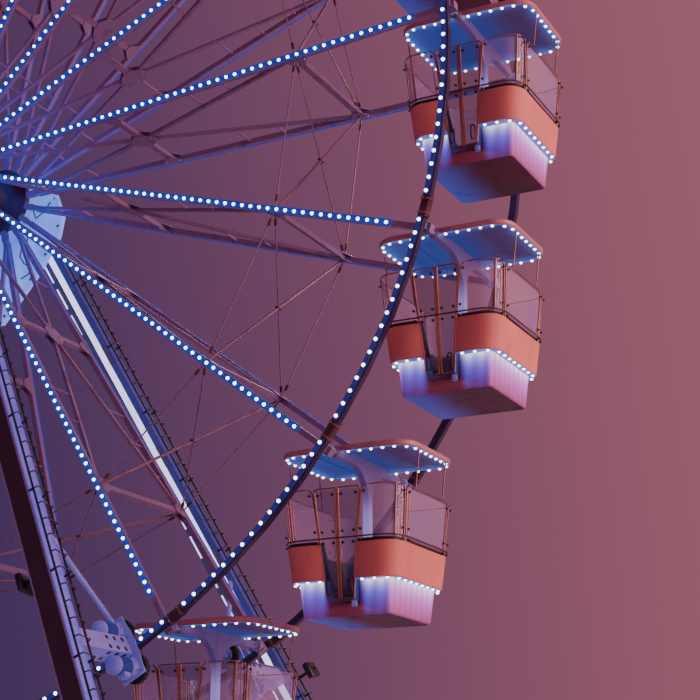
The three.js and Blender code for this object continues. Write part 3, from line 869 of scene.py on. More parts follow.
class Solids:
    """Solid pieces collected in one mesh, each with its finish."""

    def __init__(self) -> None:
        """Starts with an empty mesh."""
        self.bm = bmesh.new()
        self.finishes: list[Finish] = []

    def slot_of(self, finish: Finish) -> int:
        """Looks up a finish, or adds it.

        Args:
            finish: the finish.

        Returns:
            Its material index.
        """
        if finish not in self.finishes:
            self.finishes.append(finish)
        return self.finishes.index(finish)

    def _face(self, corners: Sequence[bmesh.types.BMVert], finish: Finish) -> bmesh.types.BMFace:
        """Adds a face.

        Args:
            corners: its corners, in order.
            finish: its finish.

        Returns:
            The face.
        """
        made = self.bm.faces.new(corners)
        made.material_index = self.slot_of(finish)
        return made

    def skin(self, rings: Sequence[Sequence[Point]], finishes: Sequence[Finish]) -> None:
        """A closed skin through rings of equal point count.

        Args:
            rings: the rings' points, in order.
            finishes: the finish of each stretch between rings; the first and last are also the caps'.
        """
        rows = [[self.bm.verts.new(p) for p in ring] for ring in rings]
        made = []
        for number, (low, high) in enumerate(zip(rows, rows[1:])):
            finish = finishes[min(number, len(finishes) - 1)]
            for i, vert in enumerate(low):
                j = (i + 1) % len(low)
                made.append(self._face((vert, low[j], high[j], high[i]), finish))
        made.append(self._face(rows[0][::-1], finishes[0]))
        made.append(self._face(rows[-1], finishes[-1]))
        bmesh.ops.recalc_face_normals(self.bm, faces=made)

    def plate(self, outline: Sequence[Point], frame: Matrix, low: float, high: float, finish: Finish) -> None:
        """A plate cut to an outline in a frame's XY plane, from one height to another."""
        rings = [[frame @ Vector((x, y, z)) for x, y in outline] for z in (low, high)]
        self.skin(rings, [finish])

    def box(self, frame: Matrix, centre: Point, size: Point, finish: Finish, chamfer: float = 0.0) -> None:
        """A box in a frame.

        Args:
            frame: the frame it is measured in.
            centre: its middle.
            size: its three lengths.
            finish: its finish.
            chamfer: the cut on its edges along Z.
        """
        half_x, half_y, half_z = (c / 2 for c in size)
        cut = min(chamfer, half_x * 0.9, half_y * 0.9)
        corners = [(half_x, half_y), (-half_x, half_y), (-half_x, -half_y), (half_x, -half_y)]
        if cut:
            flat_x, flat_y = half_x - cut, half_y - cut
            corners = [
                (half_x, flat_y), (flat_x, half_y), (-flat_x, half_y), (-half_x, flat_y),
                (-half_x, -flat_y), (-flat_x, -half_y), (flat_x, -half_y), (half_x, -flat_y),
            ]
        outline = [(centre[0] + x, centre[1] + y) for x, y in corners]
        self.plate(outline, frame, centre[2] - half_z, centre[2] + half_z, finish)

    def turned(self, frame: Matrix, profile: Profile, sides: int, finish: Finish) -> None:
        """A turned piece about a frame's Z axis, from its profile of radius and height."""
        self.skin([circle(frame, radius, height, sides) for radius, height in profile], [finish])

    def ring(self, frame: Matrix, profile: Profile, sides: int, finish: Finish) -> None:
        """A turned ring about a frame's Z axis.

        Args:
            frame: the frame.
            profile: its closed section, as radius and height.
            sides: the sides of its circles.
            finish: its finish.
        """
        circles = [circle(frame, radius, height, sides) for radius, height in profile]
        rows = [[self.bm.verts.new(point) for point in row] for row in zip(*circles)]
        made = []
        for row, after in zip(rows, rows[1:] + rows[:1]):
            for j, vert in enumerate(row):
                k = (j + 1) % len(row)
                made.append(self._face((vert, after[j], after[k], row[k]), finish))
        bmesh.ops.recalc_face_normals(self.bm, faces=made)

    def mesh(self, name: str, bevel: float = 0.0, segments: int = 2) -> bpy.types.Mesh:
        """The collected solids as a mesh.

        Args:
            name: the mesh's name.
            bevel: the width of the rounding on sharp edges, or nothing.
            segments: how many faces a rounding has.

        Returns:
            The mesh, with its materials and with smooth faces between sharp edges.
        """
        if bevel:
            limit = math.radians(40)
            sharp = [e for e in self.bm.edges if len(e.link_faces) == 2 and e.calc_face_angle() > limit]
            bmesh.ops.bevel(
                self.bm, geom=sharp, offset=bevel, segments=segments, affect="EDGES", clamp_overlap=True,
            )
        made = bpy.data.meshes.new(name)
        self.bm.to_mesh(made)
        self.bm.free()
        for finish in self.finishes:
            made.materials.append(finish.material())
        made.shade_smooth()
        made.set_sharp_from_angle(angle=math.radians(35))
        return made


def circle(frame: Matrix, radius: float, height: float, sides: int) -> list[Vector]:
    """The points of a circle about a frame's Z axis, at a height."""
    angles = [2 * math.pi * i / sides for i in range(sides)]
    return [frame @ Vector((radius * math.cos(a), radius * math.sin(a), height)) for a in angles]


def place_mesh(
    mesh: bpy.types.Mesh, name: str, body: str, replaces: Sequence[str] = ()
) -> bpy.types.Object:
    """Makes a finished piece of a mesh.

    Args:
        mesh: the mesh, in the model's frame.
        name: the piece's name.
        body: the body it moves with.
        replaces: the solids that it stands for.

    Returns:
        The piece's object, at the origin.
    """
    obj = link(bpy.data.objects.new(name, mesh))
    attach(obj, body)
    if replaces:
        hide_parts(*replaces)
    LOG.info("%s: %d faces on %s", name, len(mesh.polygons), body)
    return obj


def quarter_turn(steps: int) -> list[float]:
    """Angles from nothing to a quarter turn, in even steps."""
    return [math.pi / 2 * i / steps for i in range(steps + 1)]


def rounded_outline(width: float, depth: float, corner: float, steps: int) -> list[tuple[float, float]]:
    """The outline of a rectangle with rounded corners.

    Args:
        width: its size along X.
        depth: its size along Y.
        corner: the corners' radius.
        steps: the edges of a corner.

    Returns:
        Its points, anticlockwise from the right side.
    """
    points = []
    for quarter, (sx, sy) in enumerate(((1, 1), (-1, 1), (-1, -1), (1, -1))):
        for step in range(steps + 1):
            angle = (quarter + step / steps) * math.pi / 2
            points.append((
                sx * (width / 2 - corner) + corner * math.cos(angle),
                sy * (depth / 2 - corner) + corner * math.sin(angle),
            ))
    return points


def frame_on(origin: Point, x_axis: Point, z_axis: Point) -> Matrix:
    """A frame at a point.

    Args:
        origin: the point.
        x_axis: the rough direction of its X axis.
        z_axis: the direction of its Z axis.

    Returns:
        The frame, its axes square to each other.
    """
    z = Vector(z_axis).normalized()
    y = z.cross(Vector(x_axis)).normalized()
    x = y.cross(z)
    made = Matrix((x, y, z)).transposed().to_4x4()
    made.translation = Vector(origin)
    return made


@dataclass(frozen=True)
class Level:
    """The outline of a gondola's skin at one height."""

    width: float
    depth: float
    corner: float
    z: float

    def ring(self, inset: float = 0.0, lift: float = 0.0, steps: int = 5) -> list[tuple[float, float, float]]:
        """The outline as points.

        Args:
            inset: how far it is drawn in.
            lift: how far it is raised.
            steps: the edges of a corner.

        Returns:
            The points, anticlockwise from the right side.
        """
        corner = max(self.corner - inset, 0.02)
        outline = rounded_outline(self.width - 2 * inset, self.depth - 2 * inset, corner, steps)
        return [(x, y, self.z + lift) for x, y in outline]

    def toward(self, other: Level, z: float) -> Level:
        """The outline on the straight line to another level.

        Args:
            other: the other level.
            z: the height.

        Returns:
            The level at that height.
        """
        share = (z - self.z) / (other.z - self.z)
        width = self.width + (other.width - self.width) * share
        depth = self.depth + (other.depth - self.depth) * share
        return Level(width, depth, self.corner, z)


@dataclass(frozen=True)
class Hoop:
    """One bay of the cage, from one leg to the next, as distances along the rail."""

    start: float
    end: float
    start_lean: float = 0.0
    end_lean: float = 0.0

    def across(self, share: float, drop: float, margin: float = 0.0) -> float:
        """A place in the bay.

        Args:
            share: how far across it is, from 0 to 1.
            drop: how far it is below the rail.
            margin: the space kept at both ends.

        Returns:
            Its distance along the rail.
        """
        first = self.start + margin + self.start_lean * drop
        last = self.end - margin + self.end_lean * drop
        return first + (last - first) * share


@dataclass
class Cage:
    """The guides of a gondola's cage: thin hoops, thick copper posts, dark rails, and knobs."""

    thin: Guide = field(default_factory=Guide)
    thick: Guide = field(default_factory=Guide)
    dark: Guide = field(default_factory=Guide)
    knobs: Guide = field(default_factory=Guide)


@dataclass
class Gondola:
    """A gondola, drawn about its pivot: tub, band, benches, cage, door, mast and canopy."""

    tub_bottom: Level = Level(1.466, 1.524, 0.09, -2.396)
    tub_top: Level = Level(1.562, 1.620, 0.09, -1.874)
    band_bottom: Level = Level(1.832, 1.934, 0.30, -1.874)
    band_top: Level = Level(1.936, 2.038, 0.30, -1.343)
    rail: Level = Level(2.072, 2.174, 0.30, -0.499)
    canopy: Level = Level(2.27, 1.82, 0.34, 0.09)
    canopy_thickness: float = 0.09
    canopy_rib: float = 1.56
    wall: float = 0.04
    backrest: float = 0.12
    bench_back: float = 0.54
    floor: float = -2.326
    bench_top: float = -1.886
    bench_inner: float = 0.36
    low_rail: float = -1.27
    rail_tube: float = 0.012
    hoop_corner: float = 0.09
    hoop_tube: float = 0.011
    hoop_gap: float = 0.03
    rod_pitch: float = 0.085
    door_tube: float = 0.017
    door_corner: float = 0.06
    door_stile: float = 0.019
    door_top_half: float = 0.385
    door_sill_half: float = 0.22
    door_inset: float = 0.018
    sill: float = -2.19
    panel: float = 0.008
    panel_inset: float = 0.022
    beam_half: float = 0.055
    beam_reach: float = 1.10
    mast_half: float = 0.065
    mast_top_half: float = 0.70
    gusset_reach: float = 0.62
    gusset_drop: float = 0.48
    journal: float = 0.045
    journal_end: float = 1.3147
    lamp_spacing: float = 0.195
    lamp_radius: float = 0.029
    collar_height: float = 0.008
    knob: Stud = (0.016, 0.03)

    def level(self, z: float) -> Level:
        """The band's and cage's outline, carried on past both ends.

        Args:
            z: the height.

        Returns:
            The level at that height.
        """
        if z < self.band_top.z:
            return self.band_bottom.toward(self.band_top, z)
        return self.band_top.toward(self.rail, z)

    @property
    def door_taper(self) -> float:
        """How much narrower each side of the door grows for each metre down."""
        return (self.door_top_half - self.door_sill_half) / (self.rail.z - self.sill)

    def door_half(self, z: float) -> float:
        """Half the door's width at a height."""
        return self.door_top_half - self.door_taper * (self.rail.z - z)

    def door_point(self, x: float, z: float, out: float = 0.0) -> Vector:
        """A point of the door's sloping plane, moved outwards."""
        return Vector((x, self.door_inset - self.level(z).depth / 2 - out, z))

    def shell(self) -> bpy.types.Mesh:
        """The tub and band as one hollow shell, open at the door.

        Returns:
            The mesh.
        """
        rings = [
            self.tub_bottom.ring(0.02),
            self.tub_bottom.ring(0.0, 0.02),
            self.tub_top.ring(),
            self.band_bottom.ring(0.012),
            self.band_bottom.ring(0.0, 0.012),
            self.band_top.ring(0.0, -0.012),
            self.band_top.ring(0.012),
            self.band_top.ring(0.022),
            self.band_top.ring(0.026, 0.03),
            self.band_top.ring(0.06, 0.03),
            self.band_top.ring(self.backrest),
            self.tub_top.ring(2 * self.wall, self.bench_top - self.tub_top.z),
            self.tub_bottom.ring(self.wall, self.floor - self.tub_bottom.z),
        ]
        finishes = [TUB] * 2 + [LEDGE] + [BAND] * 3 + [BLACK] * 3 + [INTERIOR] * 3 + [MAT]
        solids, cut = Solids(), Solids()
        solids.skin(rings, finishes)
        # The bottom faces take the underside's painted shade and painted lamp light.
        for face in solids.bm.faces:
            if face.calc_center_median().z < self.tub_bottom.z + 0.001:
                face.material_index = solids.slot_of(UNDERSIDE)
        foot, top = self.sill + 0.02, self.band_top.z + 0.1
        half_foot, half_top = self.door_half(self.sill) - 0.02, self.door_half(top) - 0.02
        outline = [(-half_foot, -foot), (half_foot, -foot), (half_top, -top), (-half_top, -top)]
        cut.plate(outline, frame_on((0, -1.2, 0), (1, 0, 0), (0, 1, 0)), 0.0, 0.65, INTERIOR)
        whole = link(bpy.data.objects.new("shell", solids.mesh("shell")))
        cutter = link(bpy.data.objects.new("door_cut", cut.mesh("door_cut")))
        boolean = whole.modifiers.new("door", "BOOLEAN")
        boolean.object = cutter
        boolean.operation = "DIFFERENCE"
        boolean.solver = "EXACT"
        made = evaluated_mesh(whole)
        bpy.data.objects.remove(whole)
        bpy.data.objects.remove(cutter)
        return made

    def fittings(self) -> bpy.types.Mesh:
        """Two benches with leaning backs, the door's cheeks and step, and the pale block under its sill.

        Returns:
            The mesh.
        """
        solids = Solids()
        flat = Matrix.Identity(4)
        length = self.tub_bottom.depth - 2 * self.wall - 0.08
        outer = self.tub_bottom.width / 2 - self.wall
        depth, height = outer - self.bench_inner, self.bench_top - self.floor
        front, back = self.door_point(0.0, self.sill).y, 0.045 - self.tub_top.depth / 2
        for side in (-1, 1):
            middle = side * (self.bench_inner + outer) / 2
            seat = (middle, 0, self.floor + height / 2 - 0.02)
            solids.box(flat, seat, (depth, length, height - 0.04), SEAT, 0.04)
            cushion = (middle - side * 0.02, 0, self.bench_top - 0.03)
            solids.box(flat, cushion, (depth + 0.06, length, 0.06), SEAT, 0.03)
            lean = frame_on((side * (outer - 0.02), 0, self.bench_top), (0, 1, 0), (side * 0.26, 0, 1))
            solids.box(lean, (0, 0, self.bench_back / 2 + 0.02), (length, 0.04, self.bench_back), SEAT, 0.015)
            cheek = []
            for z in (self.sill, self.band_bottom.z + 0.006):
                edge, face = self.door_half(z), self.door_point(0.0, z).y
                inner = edge - 0.022
                outline = ((edge, face), (edge, back), (inner, back), (inner, face))
                cheek.append([(side * x, y, z) for x, y in outline])
            solids.skin(cheek, [DOORWAY])
        step = (0, (front + back) / 2, self.sill + 0.012)
        # The step shares the underside's painted shade and painted lamp light.
        solids.box(flat, step, (2 * self.door_sill_half, back - front, 0.024), UNDERSIDE)
        block = (self.door_sill_half - 0.02, front + 0.05, self.sill - 0.045)
        solids.box(flat, block, (0.075, 0.09, 0.09), WHITE_PAINT_LAMPLIT, 0.015)
        return solids.mesh("fittings", 0.01)

    def mast(self) -> bpy.types.Mesh:
        """The axle beam, its curved gussets and the mast, with the journals at the beam's ends.

        Returns:
            The mesh.
        """
        solids = Solids()
        reach, low = self.gusset_reach, -self.gusset_drop - self.beam_half
        half = [(self.mast_half, self.floor)]
        for angle in quarter_turn(9):
            across = reach - (reach - self.mast_half) * math.cos(angle)
            half.append((across, low - (low + self.beam_half) * math.sin(angle)))
        half += [
            (self.beam_reach, -self.beam_half), (self.beam_reach, self.beam_half),
            (self.mast_top_half, self.beam_half), (self.mast_top_half, self.canopy.z + 0.012),
        ]
        outline = half + [(-y, z) for y, z in reversed(half)]
        side = frame_on((0, 0, 0), (0, 1, 0), (1, 0, 0))
        solids.plate(outline, side, -self.beam_half, self.beam_half, MAST)
        profile = [
            (0.075, self.beam_reach - 0.01), (0.075, self.beam_reach + 0.03),
            (self.journal, self.beam_reach + 0.035), (self.journal, self.journal_end),
        ]
        for sign in (-1, 1):
            solids.turned(frame_on((0, 0, 0), (1, 0, 0), (0, sign, 0)), profile, 16, STEEL)
        return solids.mesh("mast", 0.008, 1)

    def roof(self) -> bpy.types.Mesh:
        """The canopy: a salmon edge and top over a lining lit blue by painted lamp light, with two ribs.

        Returns:
            The mesh.
        """
        high = self.canopy_thickness
        rings = [
            self.canopy.ring(0.11, 0.022),
            self.canopy.ring(0.095, 0.014),
            self.canopy.ring(0.088),
            self.canopy.ring(0.018),
            self.canopy.ring(0.0, 0.016),
            self.canopy.ring(0.0, high - 0.02),
            self.canopy.ring(0.02, high),
            self.canopy.ring(0.30, high + 0.018),
        ]
        solids = Solids()
        solids.skin(rings, [CANOPY_UNDER, CANOPY_UNDER, CANOPY_UNDER, CANOPY_EDGE])
        for x in (-0.58, 0.58):
            rib = (x, 0, self.canopy.z + 0.014)
            solids.box(Matrix.Identity(4), rib, (0.035, self.canopy_rib, 0.02), CANOPY_UNDER, 0.006)
        return solids.mesh("roof")

    def lamps(self) -> Guide:
        """Lamp rows round the canopy and under the band, but for the door.

        Returns:
            Their guide.
        """
        guide = Guide()
        down = (0, 0, -1)
        guide.path(self.canopy.ring(0.052), down, closed=True)
        under = self.band_bottom.ring(0.045)
        first = 3 * len(under) // 4
        gap, front, z = self.door_half(self.band_bottom.z) + 0.10, under[first - 1][1], self.band_bottom.z
        guide.path([(gap, front, z), *under[first:], *under[:first], (-gap, front, z)], down)
        return guide

    def bays(self, walk: Walk) -> list[Hoop]:
        """The six bays of the cage between its corners and the door.

        Args:
            walk: the walk round the cage.

        Returns:
            The bays, from the right side round to the door.
        """
        side, front = self.rail.width / 2, self.rail.depth / 2
        bend, door = front - self.rail.corner, self.door_top_half + 0.035
        front_right = walk.at_point((side, -bend)) - walk.length
        back_right, back, back_left = (walk.at_point(p) for p in ((side, bend), (0.0, front), (-side, bend)))
        front_left = walk.at_point((-side, -bend))
        door_left, door_right = (walk.at_point((x, -front)) for x in (-door, door))
        gap = self.hoop_gap
        return [
            Hoop(front_right + gap, back_right - gap),
            Hoop(back_right + gap, back - gap),
            Hoop(back + gap, back_left - gap),
            Hoop(back_left + gap, front_left - gap),
            Hoop(front_left + gap, door_left, end_lean=self.door_taper),
            Hoop(door_right, front_right + walk.length - gap, start_lean=-self.door_taper),
        ]

    def _hoop_path(self, walk: Walk, bay: Hoop, foot: float) -> list[Vector]:
        """The tube of one bay: up one leg, over the rail with rounded corners, and down the other.

        Args:
            walk: the walk round the cage.
            bay: the bay.
            foot: the height of the legs' ends.

        Returns:
            The tube's points, in order.
        """
        corner, top = self.hoop_corner, self.rail.z - self.hoop_tube
        count = max(3, int((bay.end - bay.start) / 0.07))
        points = [(0.0, 0.0, foot), (0.0, 0.0, self.band_top.z)]
        for angle in quarter_turn(3):
            points.append((0.0, corner * (1 - math.cos(angle)), top - corner * (1 - math.sin(angle))))
        middle = [(i / count, 0.0, top) for i in range(1, count)]
        down = [(1.0, -shift, z) for _, shift, z in reversed(points)]
        return [
            walk.point(bay.across(share, self.rail.z - z) + shift, z, self.hoop_tube)
            for share, shift, z in points + middle + down
        ]

    def cage(self, walk: Walk) -> Cage:
        """The cage of tubes over the band, and the frames of the door's two leaves.

        Args:
            walk: the walk round the cage.

        Returns:
            Their guides.
        """
        cage, bays, top = Cage(), self.bays(walk), self.rail.z
        for bay in bays:
            cage.thin.path(self._hoop_path(walk, bay, self.band_top.z - 0.10))
            for share, z in product((0.0, 1.0), (top - 0.11, self.low_rail + 0.11, self.low_rail - 0.05)):
                s = bay.across(share, top - z, 0.05)
                cage.knobs.spot(walk.point(s, z), walk.normal(s))
        for s in (bays[4].across(0.45, 0.0), bays[5].across(0.75, 0.0)):
            cage.thick.path([walk.point(s, z, self.door_tube) for z in (top - 0.02, self.low_rail)])
        for corner, i in product((bays[0].start, bays[3].end), range(4)):
            s = corner + (i - 1.5) * self.rod_pitch
            cage.thin.path([walk.point(s, z, 0.03) for z in (top - 0.02, self.band_top.z)])
        opening = bays[5].start - bays[4].end
        steps = 96
        for z, first, length, inwards in (
            (self.low_rail, 0.0, walk.length, -0.012),
            (self.band_top.z + 0.035, bays[5].start, walk.length - opening, 0.02),
        ):
            cage.dark.path([walk.point(first + length * i / steps, z, inwards) for i in range(steps + 1)])
        for side in (-1, 1):
            self._leaf(cage, side)
            for y in (-0.5, 0.5):
                cage.thin.path([(side * 1.118, y, self.canopy.z + 0.03), (side * 1.045, y, top + 0.005)])
        return cage

    def _leaf(self, cage: Cage, side: int) -> None:
        """The frame, handle and clamps of one door leaf.

        Args:
            cage: the guides that they join.
            side: which leaf, as the sign of X.
        """
        top, foot = self.rail.z - self.door_tube, self.sill + 0.03
        stile, corner = self.door_stile, self.door_corner
        leg = [(self.door_half(z), z) for z in (foot, self.band_top.z, top - corner)]
        bend = [
            (self.door_half(top) - corner * (1 - math.cos(angle)), top - corner * (1 - math.sin(angle)))
            for angle in quarter_turn(3)[1:]
        ]
        for guide, points in (
            (cage.thick, leg + bend),
            (cage.thin, [bend[-1], (stile, top)]),
            (cage.thick, [(stile, top), (stile, self.band_top.z), (stile, foot)]),
            (cage.thin, [(stile, foot), (self.door_half(foot), foot)]),
        ):
            guide.path([self.door_point(side * x, z, 0.004) for x, z in points])
        for z in (top - 0.10, self.low_rail + 0.10, self.low_rail - 0.07):
            for x in (self.door_half(z) - 0.055, 0.075):
                cage.knobs.spot(self.door_point(side * x, z, 0.006), (0, -1, 0))
        outer = self.door_half(-2.0) - 0.03
        handle = [
            (0.07, -1.90), (0.07, -2.08), (0.055, -2.10), (0.015, -2.10),
            (0.0, -2.08), (0.0, -1.90), (0.015, -1.88), (0.055, -1.88),
        ]
        cage.dark.path([self.door_point(side * (outer - x), z, 0.035) for x, z in handle], closed=True)

    def panels(self, walk: Walk) -> bpy.types.Mesh:
        """The clear panels of the cage and the two door leaves.

        Args:
            walk: the walk round the cage.

        Returns:
            The mesh.
        """
        solids = Solids()
        low, high = self.band_top.z + 0.045, self.rail.z - 0.045
        near, far = self.panel_inset, self.panel_inset + self.panel
        section = ((low, near), (high, near), (high, far), (low, far))
        for bay in self.bays(walk):
            count = max(2, int((bay.end - bay.start) / 0.08))
            solids.skin([
                [walk.point(bay.across(i / count, self.rail.z - z, near), z, depth) for z, depth in section]
                for i in range(count + 1)
            ], [CLEAR])
        foot, waist, inner = self.sill + 0.05, self.band_top.z, 0.04
        outline = [
            (inner, foot), (self.door_half(self.sill) - 0.02, foot), (self.door_half(waist) - 0.022, waist),
            (self.door_half(high) - 0.024, high), (inner, high), (inner, waist),
        ]
        for side in (-1, 1):
            rings = [[self.door_point(side * x, z, out) for x, z in outline] for out in (0.0, -self.panel)]
            solids.skin(rings, [DOOR_GLASS])
        return solids.mesh("panels")

    def dress(self) -> None:
        """Builds the pieces once, and sets a copy of each on every gondola's body."""
        walk = Walk(self.level, self.rail.z)
        cage = self.cage(walk)
        lamps = self.lamps().lamps(self.lamp_spacing, self.lamp_radius, self.collar_height)
        pieces = {
            "shell": (Slot.SHELL, self.shell()),
            "fittings": (Slot.SHELL, self.fittings()),
            "mast": (Slot.SHELL, self.mast()),
            "canopy": (Slot.SHELL, self.roof()),
            "lamps": (Slot.STEEL, lamps),
            "hoops": (Slot.STEEL, cage.thin.tubes(self.hoop_tube, HOOP)),
            "posts": (Slot.STEEL, cage.thick.tubes(self.door_tube, COPPER, 8)),
            "rails": (Slot.STEEL, cage.dark.tubes(self.rail_tube, DARK_FITTING)),
            "knobs": (Slot.STEEL, cage.knobs.studs(*self.knob, BLACK, 8)),
            "panels": (Slot.SHELL, self.panels(walk)),
        }
        for _, mesh in pieces.values():
            here = mesh.attributes.new(PLACE, "FLOAT_VECTOR", "POINT")
            here.data.foreach_set("vector", [c for v in mesh.vertices for c in v.co])
        for index in range(GONDOLA_COUNT):
            body = f"gondola_{index + 1:02d}"
            move = Matrix.Translation(wheel_point(RIM_RADIUS, spoke_angle(index), 0.0))
            for part, (slot, mesh) in pieces.items():
                own = mesh.copy()
                own.transform(move)
                place_mesh(own, f"{body}_{part}", body, (body,) if part == "shell" else ())
        for _, mesh in pieces.values():
            bpy.data.meshes.remove(mesh)


class Walk:
    """A walk round a flared body, by the distance along its outline at one height."""

    def __init__(self, level: Callable[[float], Level], z: float) -> None:
        """Measures the outline.

        Args:
            level: gives the body's level at any height.
            z: the height to measure at.
        """
        self.level = level
        self.reference = z
        self.points = self._outline(z)
        self.marks = [0.0]
        for a, b in zip(self.points, self.points[1:] + self.points[:1]):
            self.marks.append(self.marks[-1] + (b - a).length)
        self.length = self.marks[-1]

    def _outline(self, z: float) -> list[Vector]:
        """The outline's points at a height."""
        return [Vector((x, y)) for x, y, _ in self.level(z).ring(steps=8)]

    def _spot(self, distance: float, z: float) -> tuple[Vector, Vector]:
        """Looks up a place of the walk.

        Args:
            distance: how far along the walk it is.
            z: its height.

        Returns:
            The place, and the direction of the walk there.
        """
        distance %= self.length
        points = self.points if z == self.reference else self._outline(z)
        for i, mark in enumerate(self.marks[1:]):
            if distance <= mark:
                a, b = points[i], points[(i + 1) % len(points)]
                span = mark - self.marks[i]
                return a.lerp(b, (distance - self.marks[i]) / span), (b - a).normalized()
        return points[0], (points[1] - points[0]).normalized()

    def normal(self, distance: float) -> Vector:
        """The outward direction at a distance."""
        _, along = self._spot(distance, self.reference)
        return Vector((along.y, -along.x, 0.0))

    def point(self, distance: float, z: float, inwards: float = 0.0) -> Vector:
        """The point at a distance and height, moved inwards."""
        place, _ = self._spot(distance, z)
        return Vector((place.x, place.y, z)) - self.normal(distance) * inwards

    def at_point(self, point: tuple[float, float]) -> float:
        """Finds the outline's place nearest to a point.

        Args:
            point: the point's X and Y.

        Returns:
            Its distance.
        """
        goal = Vector(point)
        steps = 1200
        marks = [self.length * i / steps for i in range(steps)]
        return min(marks, key=lambda distance: (self._spot(distance, self.reference)[0] - goal).length)


@dataclass
class Wheel:
    """The turning structure: rims, spokes with their lamp channels, bracing rods and hub."""

    chord_hub: float = 0.87
    chord_rim: float = 1.39
    hub_face: float = 0.65
    chord_half: float = 0.05
    rim_face: float = 1.63
    inner_tube: float = 3.9
    outer_tube: float = 7.68
    lamps_from: float = 1.0
    lamps_to: float = 9.82
    lamp_spacing: float = 0.172
    rim_lamp_spacing: float = 0.2
    lamp_radius: float = 0.032
    collar_height: float = 0.012
    channel_half: float = 0.058
    rim_lamp_inset: float = 0.022
    fitting_offset: float = 0.28
    fitting_length: float = 0.34
    plate: float = 0.008
    rung_radii: tuple[float, ...] = (1.6, 2.3, 5.5, 6.2, 6.9)
    rod_radius: float = 0.013
    tube_radius: float = 0.024
    rung_radius: float = 0.02
    diagonal_start: float = 0.9
    spoke_bolt: Stud = (0.014, 0.014)
    hub_bolt: Stud = (0.02, 0.02)

    def chord_y(self, radius: float) -> float:
        """How far from the wheel's middle plane a chord's centre line is."""
        share = (radius - self.hub_face) / (RIM_RADIUS - self.hub_face)
        return self.chord_hub + (self.chord_rim - self.chord_hub) * share

    def spoke_point(self, index: float, radius: float, y: float, along: float = 0.0) -> Vector:
        """A point of a spoke's plane."""
        return wheel_point(radius, spoke_angle(index), y, along)

    def spoke_frame(self, index: int, radius: float, y: float) -> Matrix:
        """A frame at a point of a spoke's plane, X outwards along the radius and Z square to the plane."""
        return frame_on(self.spoke_point(index, radius, y), *wheel_axes(spoke_angle(index)))

    def channels(self) -> bpy.types.Mesh:
        """Blue lamp channels, lit by painted lamp light, on the outward faces of the chords.

        Returns:
            The mesh.
        """
        solids = Solids()
        half, lip, base = self.channel_half, 0.012, 0.004
        inner = half - 0.006
        profile = [
            (-half, -0.002), (half, -0.002), (half, lip), (inner, lip), (inner, base), (-inner, base),
            (-inner, lip), (-half, lip),
        ]
        for index, side in product(range(GONDOLA_COUNT), Side):
            rings = []
            for radius in (self.lamps_from - 0.1, self.lamps_to + 0.08):
                face = self.chord_y(radius) + self.chord_half
                rings.append([
                    self.spoke_point(index, radius, side.value * (face + out), along)
                    for along, out in profile
                ])
            solids.skin(rings, [CHANNEL])
        return solids.mesh("channels")

    def spoke_lamps(self, side: Side) -> Guide:
        """Lamp paths along the chords.

        Args:
            side: the side of the wheel.

        Returns:
            Their guide.
        """
        guide = Guide()
        for index in range(GONDOLA_COUNT):
            guide.path([
                self.spoke_point(index, r, side.value * (self.chord_y(r) + self.chord_half + 0.003))
                for r in (self.lamps_from, self.lamps_to)
            ], side.outwards)
        return guide

    def rim_lamps(self) -> Guide:
        """Lamp paths on the outward faces of both rims, with a gap at each splice.

        Returns:
            Their guide.
        """
        guide = Guide()
        clear = self.fitting_length / 2 + 0.06
        radius, steps = RIM_RADIUS - self.rim_lamp_inset, 12
        for side, index in product(Side, range(GONDOLA_COUNT)):
            first = spoke_angle(index) + (self.fitting_offset + clear) / RIM_RADIUS
            last = spoke_angle(index - 1) + (self.fitting_offset - clear) / RIM_RADIUS
            y = side.value * (self.rim_face + 0.001)
            guide.path(
                [wheel_point(radius, first + (last - first) * i / steps, y) for i in range(steps + 1)],
                side.outwards,
            )
        return guide

    def fittings(self) -> tuple[bpy.types.Mesh, Guide]:
        """Dark splice boxes on the rims and the gusset plates of the spokes, and their bolts.

        Returns:
            The mesh and the bolts' guide.
        """
        solids, bolts = Solids(), Guide()
        for index in range(GONDOLA_COUNT):
            for side in Side:
                self._splice(solids, bolts, index, side)
                self._tube_end_plates(solids, bolts, index, side)
                self._pivot_cap(solids, bolts, index, side)
            self._middle_plate(solids, bolts, index)
        return solids.mesh("fittings"), bolts

    def _splice(self, solids: Solids, bolts: Guide, index: int, side: Side) -> None:
        """The dark box on a joint of the rim, with two bolted rings.

        Args:
            solids: the pieces that it joins.
            bolts: the guide that its bolts join.
            index: the spoke's number.
            side: the side of the wheel.
        """
        angle = spoke_angle(index) + self.fitting_offset / RIM_RADIUS
        at = wheel_point(RIM_RADIUS, angle, side.value * (self.rim_face - 0.055))
        radial, tangent = wheel_axes(angle)
        frame = frame_on(at, radial, tangent)
        solids.box(frame, (0, 0, 0), (0.150, 0.136, self.fitting_length), DARK_FITTING, 0.02)
        for shift in (-0.11, 0.11):
            solids.box(frame, (0, 0, shift), (0.164, 0.15, 0.035), HOOP, 0.012)
            for reach in (-0.045, 0.045):
                bolts.spot(at + tangent * shift + radial * reach + side.outwards * 0.078, side.outwards)

